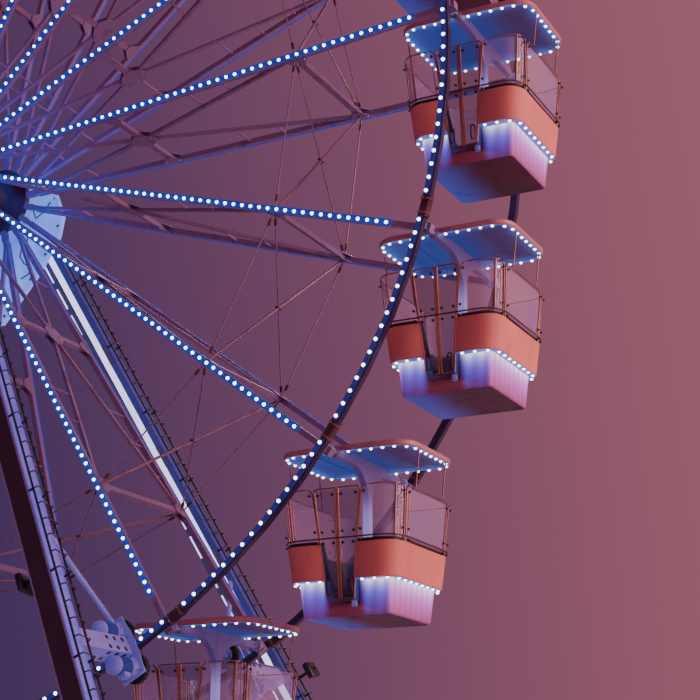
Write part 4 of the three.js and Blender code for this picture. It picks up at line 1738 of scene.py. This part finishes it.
    def _pivot_cap(self, solids: Solids, bolts: Guide, index: int, side: Side) -> None:
        """The bearing cap on the outer side of a gondola's pivot block.

        Args:
            solids: the pieces that it joins.
            bolts: the guide that its bolts join.
            index: the spoke's number.
            side: the side of the wheel.
        """
        cap, face = (side.value * (self.chord_rim + shift) for shift in (-0.075, 0.075))
        radial, _ = wheel_axes(spoke_angle(index))
        frame = frame_on(self.spoke_point(index, RIM_RADIUS, cap), radial, -side.outwards)
        profile = [(0.092, -0.01), (0.092, 0.012), (0.075, 0.024), (0.05, 0.024)]
        solids.turned(frame, profile, 16, WHITE_PAINT_LAMPLIT)
        for turn in range(4):
            corner = math.radians(45 + 90 * turn)
            out, along = 0.083 * math.cos(corner), 0.055 * math.sin(corner)
            bolts.spot(self.spoke_point(index, RIM_RADIUS + out, face, along), side.outwards)

    def _bolted_pair(
        self, solids: Solids, bolts: Guide, frame: Matrix, outline: Sequence[Point], holes: Sequence[Point],
        half: float,
    ) -> None:
        """Two like plates on both sides of a tube, and the bolts through them.

        Args:
            solids: the pieces that the plates join.
            bolts: the guide that the bolts join.
            frame: the frame in the tube's middle, Z towards one plate.
            outline: the plates' outline in the frame's XY plane.
            holes: the places of the bolts in that plane.
            half: the distance from the middle to the plates' outer faces.
        """
        normal = frame.to_3x3().col[2]
        for low in (-half, half - self.plate):
            solids.plate(outline, frame, low, low + self.plate, LAVENDER_LAMPLIT)
        for (x, y), sign in product(holes, (1, -1)):
            bolts.spot(frame @ Vector((x, y, sign * half)), normal * sign)

    def _middle_plate(self, solids: Solids, bolts: Guide, index: int) -> None:
        """The gusset where the diagonals cross at the inner tube.

        Args:
            solids: the pieces that it joins.
            bolts: the guide that its bolts join.
            index: the spoke's number.
        """
        outline = [
            (0.26, -0.05), (0.26, 0.05), (0.08, 0.22), (-0.08, 0.22), (-0.26, 0.05), (-0.26, -0.05),
            (-0.08, -0.22), (0.08, -0.22),
        ]
        holes = ((0.19, 0.05), (0.19, -0.05), (-0.19, 0.05), (-0.19, -0.05), (0.0, 0.16), (0.0, -0.16))
        frame = self.spoke_frame(index, self.inner_tube, 0.0)
        self._bolted_pair(solids, bolts, frame, outline, holes, 0.046)

    def _tube_end_plates(self, solids: Solids, bolts: Guide, index: int, side: Side) -> None:
        """Plates where the cross tubes and diagonals meet a chord.

        Args:
            solids: the pieces that it joins.
            bolts: the guide that its bolts join.
            index: the spoke's number.
            side: the side of the wheel.
        """
        shape = ((-0.20, -0.06), (0.20, -0.06), (0.16, 0.04), (0.06, 0.20), (-0.06, 0.20), (-0.16, 0.04))
        for radius in (self.inner_tube, self.outer_tube):
            y = side.value * (self.chord_y(radius) - self.chord_half)
            frame = self.spoke_frame(index, radius, y)
            inwards = 1 if frame.col[1].y * side.value < 0 else -1
            outline = [(x, inwards * y) for x, y in shape]
            self._bolted_pair(solids, bolts, frame, outline, ((-0.14, 0.0), (0.14, 0.0)), 0.053)

    def rungs(self) -> Guide:
        """Short rungs between the diagonals and the chords.

        Returns:
            Their guide.
        """
        guide = Guide()
        for index, side, radius in product(range(GONDOLA_COUNT), Side, self.rung_radii):
            tip = self.diagonal_start if radius < self.inner_tube else self.outer_tube
            diagonal = self.chord_y(tip) * (radius - self.inner_tube) / (tip - self.inner_tube)
            guide.path([
                self.spoke_point(index, radius, side.value * y) for y in (diagonal, self.chord_y(radius))
            ])
        return guide

    def bracing(self) -> tuple[Guide, Guide, Guide]:
        """Bracing between neighbouring spokes at the outer tubes.

        Returns:
            Guides of the thick tubes, of the thin rods, and of the dark couplers.
        """
        thick, thin, dark = Guide(), Guide(), Guide()
        y = self.chord_y(self.outer_tube)
        coupler = Vector((0, 0.07, 0))
        for index in range(GONDOLA_COUNT):
            front, rear, next_front, next_rear = (
                self.spoke_point(number, self.outer_tube, side.value * y)
                for number, side in product((index, index + 1), Side)
            )
            thick.path([rear, next_front])
            for a, b in ((front, next_rear), (front, next_front), (rear, next_rear)):
                thin.path([a, b])
                way = (b - a).normalized()
                dark.path([a + way * 0.16, a + way * 0.27])
                dark.path([b - way * 0.27, b - way * 0.16])
            centre = (rear + next_front) / 2
            dark.path([centre - coupler, centre + coupler])
        return thick, thin, dark

    def hub_dressing(self) -> tuple[bpy.types.Mesh, Guide]:
        """Clamp plates and bolts where the spokes meet the hub's flanges.

        Returns:
            The mesh and the bolts' guide.
        """
        solids, bolts = Solids(), Guide()
        half, clamp, flange = 0.053, 0.72, 0.075
        for side in Side:
            along = frame_on((0, side.value * self.chord_hub, HUB_HEIGHT), (1, 0, 0), side.outwards)
            profile = [(0.27, 0.055), (0.56, 0.055), (0.56, flange), (0.27, flange)]
            # Hub flanges in painted shade, with faint painted lamp light.
            solids.ring(along, profile, 36, HUB_SHADED)
            for index in range(GONDOLA_COUNT):
                frame = self.spoke_frame(index, clamp, side.value * self.chord_y(clamp))
                _, tangent = wheel_axes(spoke_angle(index))
                for low in (-half, half - self.plate):
                    solids.box(frame, (0, 0, low + self.plate / 2), (0.30, 0.11, self.plate), LAVENDER_LAMPLIT)
                for radius, sign in product((0.66, 0.80), (1, -1)):
                    at = self.spoke_point(index, radius, side.value * self.chord_y(radius))
                    bolts.spot(at + tangent * sign * half, tangent * sign)
                inner = self.spoke_point(index, 0.50, side.value * (self.chord_hub + flange))
                bolts.spot(inner, side.outwards)
        return solids.mesh("hub_plates"), bolts

    def dress(self) -> None:
        """Builds the wheel's pieces."""
        body = "wheel"
        place_mesh(self.channels(), "lamp_channels", body)
        lamp = {"radius": self.lamp_radius, "collar_height": self.collar_height}
        for side in Side:
            lamps = self.spoke_lamps(side).lamps(self.lamp_spacing, **lamp)
            place_mesh(lamps, f"{side.name.lower()}_spoke_lamps", body)
        place_mesh(self.rim_lamps().lamps(self.rim_lamp_spacing, **lamp), "rim_lamps", body)
        fittings, bolts = self.fittings()
        place_mesh(fittings, "spoke_fittings", body)
        place_mesh(bolts.studs(*self.spoke_bolt, STEEL), "spoke_bolts", body)
        place_mesh(self.rungs().tubes(self.rung_radius, LAVENDER_LAMPLIT), "spoke_rungs", body)
        thick, thin, dark = self.bracing()
        place_mesh(thick.tubes(self.tube_radius, ROD, 8), "cross_tubes", body)
        place_mesh(thin.tubes(self.rod_radius, ROD, 8), "tie_rods", body)
        place_mesh(dark.tubes(self.tube_radius, DARK_FITTING, 8), "rod_couplers", body)
        plates, bolts = self.hub_dressing()
        place_mesh(plates, "hub_plates", body)
        place_mesh(bolts.studs(*self.hub_bolt, STEEL), "hub_bolts", body)


def paint_nodes(nodes: dict[str, bpy.types.Object], finishes: dict[str, Finish]) -> None:
    """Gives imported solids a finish.

    Args:
        nodes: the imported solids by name.
        finishes: the finish for each part of a name.
    """
    for (name, obj), (part, finish) in product(nodes.items(), finishes.items()):
        if part in name:
            obj.data.materials.clear()
            obj.data.materials.append(finish.material())


@dataclass
class Leg:
    """A leg of the tower, from the head down to its foot."""

    top: Vector = field(default_factory=lambda: Vector((0.24, 1.35, 13.5)))
    foot: Vector = field(default_factory=lambda: Vector((7.2, 4.0, 0.3)))
    width: float = 0.37
    depth: float = 0.32
    pockets: int = 6
    first_pocket: float = 1.7
    last_pocket_to_foot: float = 0.5
    batten: float = 0.6
    rung_pitch: float = 0.3
    ladder_half: float = 0.15
    ladder_reach: float = 0.09
    dash_pitch: float = 0.62
    cable_floor: float = 0.186

    @property
    def length(self) -> float:
        """The leg's length along its centre line."""
        return (self.foot - self.top).length

    def frame(self, sx: int, sy: int) -> Matrix:
        """The frame of a leg: Z down the leg, Y away from the wheel.

        Args:
            sx, sy: the tower's corner, as signs.

        Returns:
            The frame.
        """
        down = (self.foot - self.top).normalized()
        across = Vector((0, 1, 0)).cross(down).normalized()
        away = down.cross(across)
        made = Matrix((across, away, down)).transposed().to_4x4()
        made.translation = self.top
        return Matrix.Diagonal((sx, sy, 1, 1)) @ made

    def strips(self, solids: Solids, frame: Matrix, back: Finish) -> None:
        """Light strips on the wheel side with a strip of painted shade beside them, edges of the outer plate,
        and a plate behind the ladder in painted light or painted shade.

        Args:
            solids: the pieces that the strips join.
            frame: the leg's frame.
            back: the finish of the plate behind the ladder, painted lamp light or painted shade.
        """
        inner, outer = -self.depth / 2, self.depth / 2 + 0.006
        start, end = self.first_pocket - 0.5, self.length - 0.9
        middle, long = (start + end) / 2, end - start
        solids.box(frame, (-0.03, inner - 0.022, middle), (0.115, 0.020, long), LEG_LIGHT)
        # Painted shade: a dark strip beside the light strip.
        solids.box(frame, (-0.13, inner - 0.010, middle), (0.075, 0.020, long), LEG_SHADE)
        for i in range(int(long / self.dash_pitch)):
            z = start + self.dash_pitch / 2 + i * self.dash_pitch
            solids.box(frame, (0.15, inner - 0.006, z), (0.028, 0.012, 0.46), LEG_LIGHT)
        for x in (-1, 1):
            edge = (x * (self.width / 2 - 0.012), outer, (self.length + 0.7) / 2)
            solids.box(frame, edge, (0.024, 0.012, self.length - 1.3), LEG_EDGE)
        # A sheet on the leg's side face, behind the ladder, that carries painted light or painted shade.
        side = (-self.width / 2 - 0.008, 0, self.length / 2 + 0.2)
        solids.box(frame, side, (0.014, 0.31, self.length - 1.6), back)

    def battens(self, solids: Solids, bolts: Guide, frame: Matrix) -> None:
        """Batten plates across the tubes between the pockets.

        Args:
            solids: the pieces that it joins.
            bolts: the guide that its bolts join.
            frame: the leg's frame.
        """
        last = self.length - self.last_pocket_to_foot
        pitch = (last - self.first_pocket + self.batten) / self.pockets
        face = -self.depth / 2 - 0.016
        away = frame.to_3x3().col[1]
        for i in range(1, self.pockets):
            middle = self.first_pocket + i * pitch - self.batten / 2
            size = (self.width - 0.02, 0.012, self.batten - 0.16)
            solids.box(frame, (0, face, middle), size, LEG_PAINT_LAMPLIT)
            for x, shift in product((-0.14, 0.14), (-0.16, 0.0, 0.16)):
                bolts.spot(frame @ Vector((x, face - 0.006, middle + shift)), -away)

    def ladder(self, rails: Guide, rungs: Guide, frame: Matrix) -> None:
        """A ladder on the upper side, with U-shaped rungs between two rails.

        Args:
            rails: the guide of the rails and their brackets.
            rungs: the guide of the rungs.
            frame: the leg's frame.
        """
        start, end = 1.3, self.length - 0.7
        half, bent = self.ladder_half, self.ladder_half - 0.02
        face = -self.width / 2
        rail = face - self.ladder_reach
        tread = rail - 0.07
        for y in (-half, half):
            rails.path([frame @ Vector((rail, y, z)) for z in (start, end)])
        for i in range(int((end - start) / self.rung_pitch)):
            z = start + 0.1 + i * self.rung_pitch
            shape = [(rail, -half), (tread, -bent), (tread, bent), (rail, half)]
            rungs.path([frame @ Vector((x, y, z)) for x, y in shape])
            if i % 5 == 2:
                for y in (-half, half):
                    rails.path([frame @ Vector((face, y, z)), frame @ Vector((rail, y, z))])

    def cables(self, guide: Guide, frame: Matrix) -> None:
        """Two cables strapped along the wheel side, inside the pockets.

        Args:
            guide: the guide that they join.
            frame: the leg's frame.
        """
        y = self.cable_floor - self.depth / 2
        for x in (-0.03, 0.03):
            guide.path([frame @ Vector((x, y, z)) for z in (1.75, self.length - 0.55)])


@dataclass
class Tower:
    """The standing structure: legs, heads, ground frame and rim drives."""

    leg: Leg = field(default_factory=Leg)
    drive_angle: float = math.radians(-61)
    plate_y: float = 1.73
    tyre_y: float = 1.575
    inner_tyre: float = 10.192
    outer_tyre: float = 10.798
    fin_pitch: float = 0.028
    head_plate_y: float = 1.095
    head_cable_y: float = 1.082
    head_bolt_pitch: float = 0.28
    beam_end: float = 7.8
    rail_tube: float = 0.019
    rung_tube: float = 0.011
    leg_cable: float = 0.011
    head_cable: float = 0.012
    strut: float = 0.042
    leg_bolt: Stud = (0.016, 0.014)
    head_bolt: Stud = (0.024, 0.022)
    drive_bolt: Stud = (0.013, 0.012)
    drive_hole: Stud = (0.03, 0.004)
    foot_bolt: Stud = (0.024, 0.024)
    head_plate: Profile = (
        (0.3, 0.6), (1.12, 0.14), (1.35, -0.43), (1.28, -0.85), (0.82, -1.56), (0.06, -2.44),
    )
    long_cable: Profile = (
        (0.55, -0.70), (0.53, -0.94), (0.41, -0.99), (0.39, -1.12), (0.50, -1.28), (0.68, -1.40),
        (0.62, -1.52), (0.45, -1.58),
    )
    short_cable: Profile = ((0.62, -0.10), (0.66, -0.25), (0.72, -0.39), (0.92, -0.26), (1.05, -0.10))

    def place(self, mesh: bpy.types.Mesh, name: str, slot: Slot = Slot.STEEL) -> None:
        """Places a piece on the tower."""
        place_mesh(mesh, name, "tower")

    def legs(self) -> None:
        """Strips, battens, ladders and cables of the four legs."""
        solids, bolts, rails, rungs, cables = Solids(), Guide(), Guide(), Guide(), Guide()
        for sx, sy in product((-1, 1), (-1, 1)):
            frame = self.leg.frame(sx, sy)
            # Front legs get painted lamp light behind the ladder, rear legs painted shade.
            self.leg.strips(solids, frame, LEG_GLOW if sy < 0 else LEG_SHADE)
            self.leg.battens(solids, bolts, frame)
            self.leg.ladder(rails, rungs, frame)
            self.leg.cables(cables, frame)
        self.place(solids.mesh("leg_trim"), "leg_trim", Slot.LEG)
        self.place(rails.tubes(self.rail_tube, BLACK), "ladder_rails")
        self.place(rungs.tubes(self.rung_tube, BLACK), "ladder_rungs")
        self.place(cables.tubes(self.leg_cable, BLACK), "leg_cables")
        self.place(bolts.studs(*self.leg_bolt, STEEL), "leg_bolts")

    def heads(self) -> None:
        """Flanged edges, bearing caps, bolts and hanging cables on the plates of the tower heads."""
        solids, bolts, cables = Solids(), Guide(), Guide()
        outline = [*self.head_plate, *((-x, z) for x, z in reversed(self.head_plate))]
        cap = [(0.30, 1.55), (0.30, 1.585), (0.22, 1.62), (0.10, 1.625)]
        for side in Side:
            solids.turned(frame_on((0, 0, HUB_HEIGHT), (1, 0, 0), side.outwards), cap, 32, WHITE_PAINT_LAMPLIT)
            for i in range(12):
                bolts.spot(wheel_point(0.37, 2 * math.pi * i / 12, side.value * 1.56), side.outwards)
            for (ax, az), (bx, bz) in zip(outline, outline[1:] + outline[:1]):
                a = Vector((ax, side.value * self.head_plate_y, HUB_HEIGHT + az))
                way = Vector((bx - ax, 0, bz - az))
                inwards = Vector((way.z, 0, -way.x)).normalized()
                frame = frame_on(a + way / 2 + inwards * 0.012, inwards, way)
                flange = side.value * math.copysign(0.07, frame.col[1].y)
                solids.box(frame, (0, flange, 0), (0.02, 0.05, way.length), HEAD_LAMPLIT)
                count = int(way.length / self.head_bolt_pitch)
                for i in range(count):
                    bolts.spot(a + way * (i + 0.5) / count + inwards * 0.07, -side.outwards)
        for sx, side, loop in product((-1, 1), Side, (self.long_cable, self.short_cable)):
            y = side.value * self.head_cable_y
            cables.path([(sx * x, y, HUB_HEIGHT + z) for x, z in loop])
        self.place(solids.mesh("head_discs"), "head_discs", Slot.LEG)
        self.place(bolts.studs(*self.head_bolt, STEEL), "head_bolts")
        self.place(cables.tubes(self.head_cable, BLACK), "head_cables")

    def _drive_frame(self, radius: float, y: float, side: Side) -> Matrix:
        """A frame at the drives, X along the rim's radius and Z away from the wheel."""
        radial, _ = wheel_axes(self.drive_angle)
        return frame_on(wheel_point(radius, self.drive_angle, side.value * y), radial, side.outwards)

    def _motor(self, solids: Solids, bolts: Guide, radius: float, side: Side) -> None:
        """A gear motor on the drive's plate: ringed foot, ribbed housing, cap and terminal box.

        Args:
            solids: the pieces that it joins.
            bolts: the guide that its bolts join.
            radius: its distance from the axle.
            side: the side of the wheel.
        """
        frame = self._drive_frame(radius, self.plate_y, side)
        foot = [(0.17, 0.0), (0.17, 0.05), (0.15, 0.07), (0.15, 0.10), (0.134, 0.11)]
        cap = [(0.146, 0.395), (0.146, 0.43), (0.12, 0.455), (0.07, 0.47), (0.02, 0.474)]
        for profile in (foot, cap):
            solids.turned(frame, profile, 24, WHITE_PAINT_LAMPLIT)
        for i in range(9):
            low = 0.13 + i * self.fin_pitch
            solids.turned(frame, [(0.148, low), (0.148, low + 0.01)], 24, LEG_SHADE)
        solids.box(frame, (0.16, 0, 0.25), (0.09, 0.13, 0.15), WHITE_PAINT_LAMPLIT, 0.015)
        for at in circle(frame, 0.16, 0.05, 8):
            bolts.spot(at, side.outwards)

    def _arm_holes(self, holes: Guide, plate: Matrix) -> None:
        """The round holes on the four sides of a drive's arm, in three rows.

        Args:
            holes: the guide that they join.
            plate: the frame of the drive's plate.
        """
        turn = plate.to_3x3()
        for i, x, y in product(range(3), (-0.15, 0.15), (0.08, -0.08)):
            height = 0.16 + 0.2 * i
            holes.spot(plate @ Vector((x, y, height)), turn @ Vector((x, 0, 0)))
            holes.spot(plate @ Vector((y, x, height)), turn @ Vector((0, x, 0)))

    def drives(self) -> None:
        """Plates, gear motors, struts, bolts and the arms' round holes of the rim drives."""
        solids, bolts, struts, holes = Solids(), Guide(), Guide(), Guide()
        outline = [(-0.48, -0.21), (0.48, -0.21), (0.48, 0.21), (0.2, 0.26), (-0.2, 0.26), (-0.48, 0.21)]
        for side in Side:
            plate = self._drive_frame(RIM_RADIUS, self.plate_y, side)
            solids.plate(outline, plate, 0.0, 0.012, WHITE_PAINT_LAMPLIT)
            for x, y in product((-0.43, -0.13, 0.13, 0.43), (-0.165, 0.165)):
                bolts.spot(plate @ Vector((x, y, 0.012)), side.outwards)
            for radius in (self.inner_tyre, self.outer_tyre):
                self._motor(solids, bolts, radius, side)
            self._arm_holes(holes, plate)
            leg = self.leg.frame(1, side.value)
            struts.path([leg @ Vector((-0.12, -0.15, 8.6)), plate @ Vector((-0.44, 0.05, 0.03))])
        self.place(solids.mesh("drive_units"), "drive_units", Slot.STRUCTURE)
        self.place(struts.tubes(self.strut, WHITE_PAINT_LAMPLIT, 10), "drive_struts", Slot.STRUCTURE)
        self.place(bolts.studs(*self.drive_bolt, STEEL), "drive_bolts")
        self.place(holes.studs(*self.drive_hole, BLACK, 12), "drive_holes")

    def tyres(self) -> None:
        """Treaded drive tyres on spoked steel discs."""
        half = [(0.13, 0.046), (0.20, 0.05), (0.222, 0.044), (0.23, 0.028)]
        tyre = [(radius, -z) for radius, z in half] + half[::-1]
        boss = [(0.046, -0.03), (0.075, -0.03), (0.075, 0.03), (0.046, 0.03)]
        for side, (place, radius) in product(Side, (("inner", self.inner_tyre), ("outer", self.outer_tyre))):
            name = f"{side.name.lower()}_{place}_tyre"
            frame = self._drive_frame(radius, self.tyre_y, side)
            solids = Solids()
            solids.ring(frame, tyre, 40, RUBBER)
            for i in range(20):
                turn = frame @ Matrix.Rotation(2 * math.pi * i / 20, 4, "Z")
                solids.box(turn, (0.224, 0, 0), (0.013, 0.02, 0.09), RUBBER)
            solids.ring(frame, boss, 20, STEEL)
            for i in range(6):
                turn = frame @ Matrix.Rotation(2 * math.pi * i / 6, 4, "Z")
                solids.box(turn, (0.103, 0, 0), (0.07, 0.045, 0.02), WHITE_PAINT_LAMPLIT, 0.01)
            place_mesh(solids.mesh(name + "_wheel"), name + "_wheel", name, (name,))

    def ground(self) -> None:
        """Foot plates, ribs, end caps and bolts of the ground frame."""
        solids, bolts = Solids(), Guide()
        x, y, top = self.leg.foot
        for sx, sy in product((-1, 1), (-1, 1)):
            corner = Matrix.Diagonal((sx, sy, 1, 1))
            foot = corner @ Matrix.Translation((x, y, top))
            solids.box(foot, (0, 0, 0), (0.62, 0.38, 0.024), BEAM_PAINT)
            for bolt_x, bolt_y in product((-0.27, 0.27), (-0.15, 0.15)):
                bolts.spot(foot @ Vector((bolt_x, bolt_y, 0.012)), (0, 0, 1))
            end = corner @ Matrix.Translation((self.beam_end, y, top / 2))
            solids.box(end, (0, 0, 0), (0.012, 0.38, 0.28), DARK_FITTING)
            for shift in (-0.35, 0.35):
                rib = corner @ Matrix.Translation((x + shift, y, top / 2))
                solids.box(rib, (0, 0, 0), (0.014, 0.412, 0.27), BEAM_PAINT)
        self.place(solids.mesh("foot_plates"), "foot_plates", Slot.LEG)
        self.place(bolts.studs(*self.foot_bolt, STEEL), "foot_bolts")

    def floodlights(self) -> None:
        """Black floodlights on brackets beside the right legs."""
        solids = Solids()
        for sy, distance, across in ((-1, 9.3, 0.40), (1, 10.7, -0.62)):
            frame = self.leg.frame(1, sy)
            bracket = (across / 2 + math.copysign(0.09, across), 0, distance)
            solids.box(frame, bracket, (abs(across), 0.05, 0.05), BLACK)
            solids.box(frame, (across, -0.02, distance), (0.10, 0.34, 0.28), BLACK, 0.02)
            for i in range(5):
                solids.box(frame, (across + 0.06, -0.14 + i * 0.06, distance), (0.03, 0.012, 0.24), BLACK)
        self.place(solids.mesh("floodlights", 0.006, 1), "floodlights")

    def dress(self) -> None:
        """Builds the tower's pieces."""
        self.legs()
        self.heads()
        self.drives()
        self.tyres()
        self.ground()
        self.floodlights()


@dataclass
class Studio:
    """The pale floor, the soft lights and the camera."""

    camera_at: Vector = field(default_factory=lambda: Vector((19.04, -22.0, 1.503)))
    aim: Vector = field(default_factory=lambda: Vector((0, 0, 11)))
    yaw: float = math.radians(-26.53)
    pitch: float = math.radians(17.235)
    lens: float = 82.29
    dusk: Colour = (0.022, 0.020, 0.105)
    glow: Colour = (0.40, 0.125, 0.165)

    def camera(self) -> None:
        """The camera at the photograph's angle."""
        data = bpy.data.cameras.new("camera")
        data.lens = self.lens
        data.sensor_width = 36.0
        data.clip_end = 500.0
        made = link(bpy.data.objects.new("camera", data))
        level = math.cos(self.pitch)
        forward = Vector((math.sin(self.yaw) * level, math.cos(self.yaw) * level, math.sin(self.pitch)))
        made.location = self.camera_at
        made.rotation_euler = forward.to_track_quat("-Z", "Y").to_euler()
        bpy.context.scene.camera = made

    def light(self, name: str, at: Point, size: float, watts: float, colour: Colour) -> None:
        """A square soft light that faces the wheel.

        Args:
            name: its name.
            at: its place.
            size: its edge.
            watts: its power.
            colour: its colour.
        """
        data = bpy.data.lights.new(name, "AREA")
        data.size = size
        data.energy = watts
        data.color = colour
        made = link(bpy.data.objects.new(name, data))
        made.visible_camera = False
        made.visible_transmission = False
        made.location = at
        made.rotation_euler = (self.aim - Vector(at)).to_track_quat("-Z", "Y").to_euler()

    def build(self) -> None:
        """The whole studio."""
        self.camera()
        self.light("key", (46, 6, 16), 24, 22000, (1.0, 0.68, 0.60))
        self.light("fill", (14, -46, 10), 26, 2200, (0.90, 0.74, 1.0))
        self.light("back", (-14, 40, 30), 26, 4000, (0.95, 0.76, 1.0))
        world = bpy.data.worlds.new("studio")
        world.use_nodes = True
        wires = Wiring(world.node_tree)
        across = wires.out("ShaderNodeSeparateXYZ", {0: wires.object_place()})
        sky = wires.blend(wires.ramp(across, -0.78, -0.02), self.dusk, self.glow)
        wires.fill(world.node_tree.nodes["Background"], {"Color": sky})
        bpy.context.scene.world = world
        solids = Solids()
        solids.box(Matrix.Identity(4), (0, 0, -0.05), (160, 160, 0.1), FLOOR)
        link(bpy.data.objects.new("floor", solids.mesh("floor")))


def main() -> None:
    """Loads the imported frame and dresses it."""
    logging.basicConfig(level=logging.INFO, format="%(name)s %(message)s")
    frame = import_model()
    Studio().build()
    Wheel().dress()
    Gondola().dress()
    Tower().dress()
    paint_nodes(frame["nodes"], {
        "spoke_": LAVENDER_LAMPLIT, "hub": HUB_SHADED, "_rim": RIM_DARK_LAMPLIT, "_leg": LEG_PAINT_LAMPLIT, "_head": HEAD_LAMPLIT,
        "_bracket": WHITE_PAINT_LAMPLIT, "_base_beam": BEAM_PAINT, "axle": STEEL, "_tyre": RUBBER,
    })


if __name__ == "__main__":
    main()
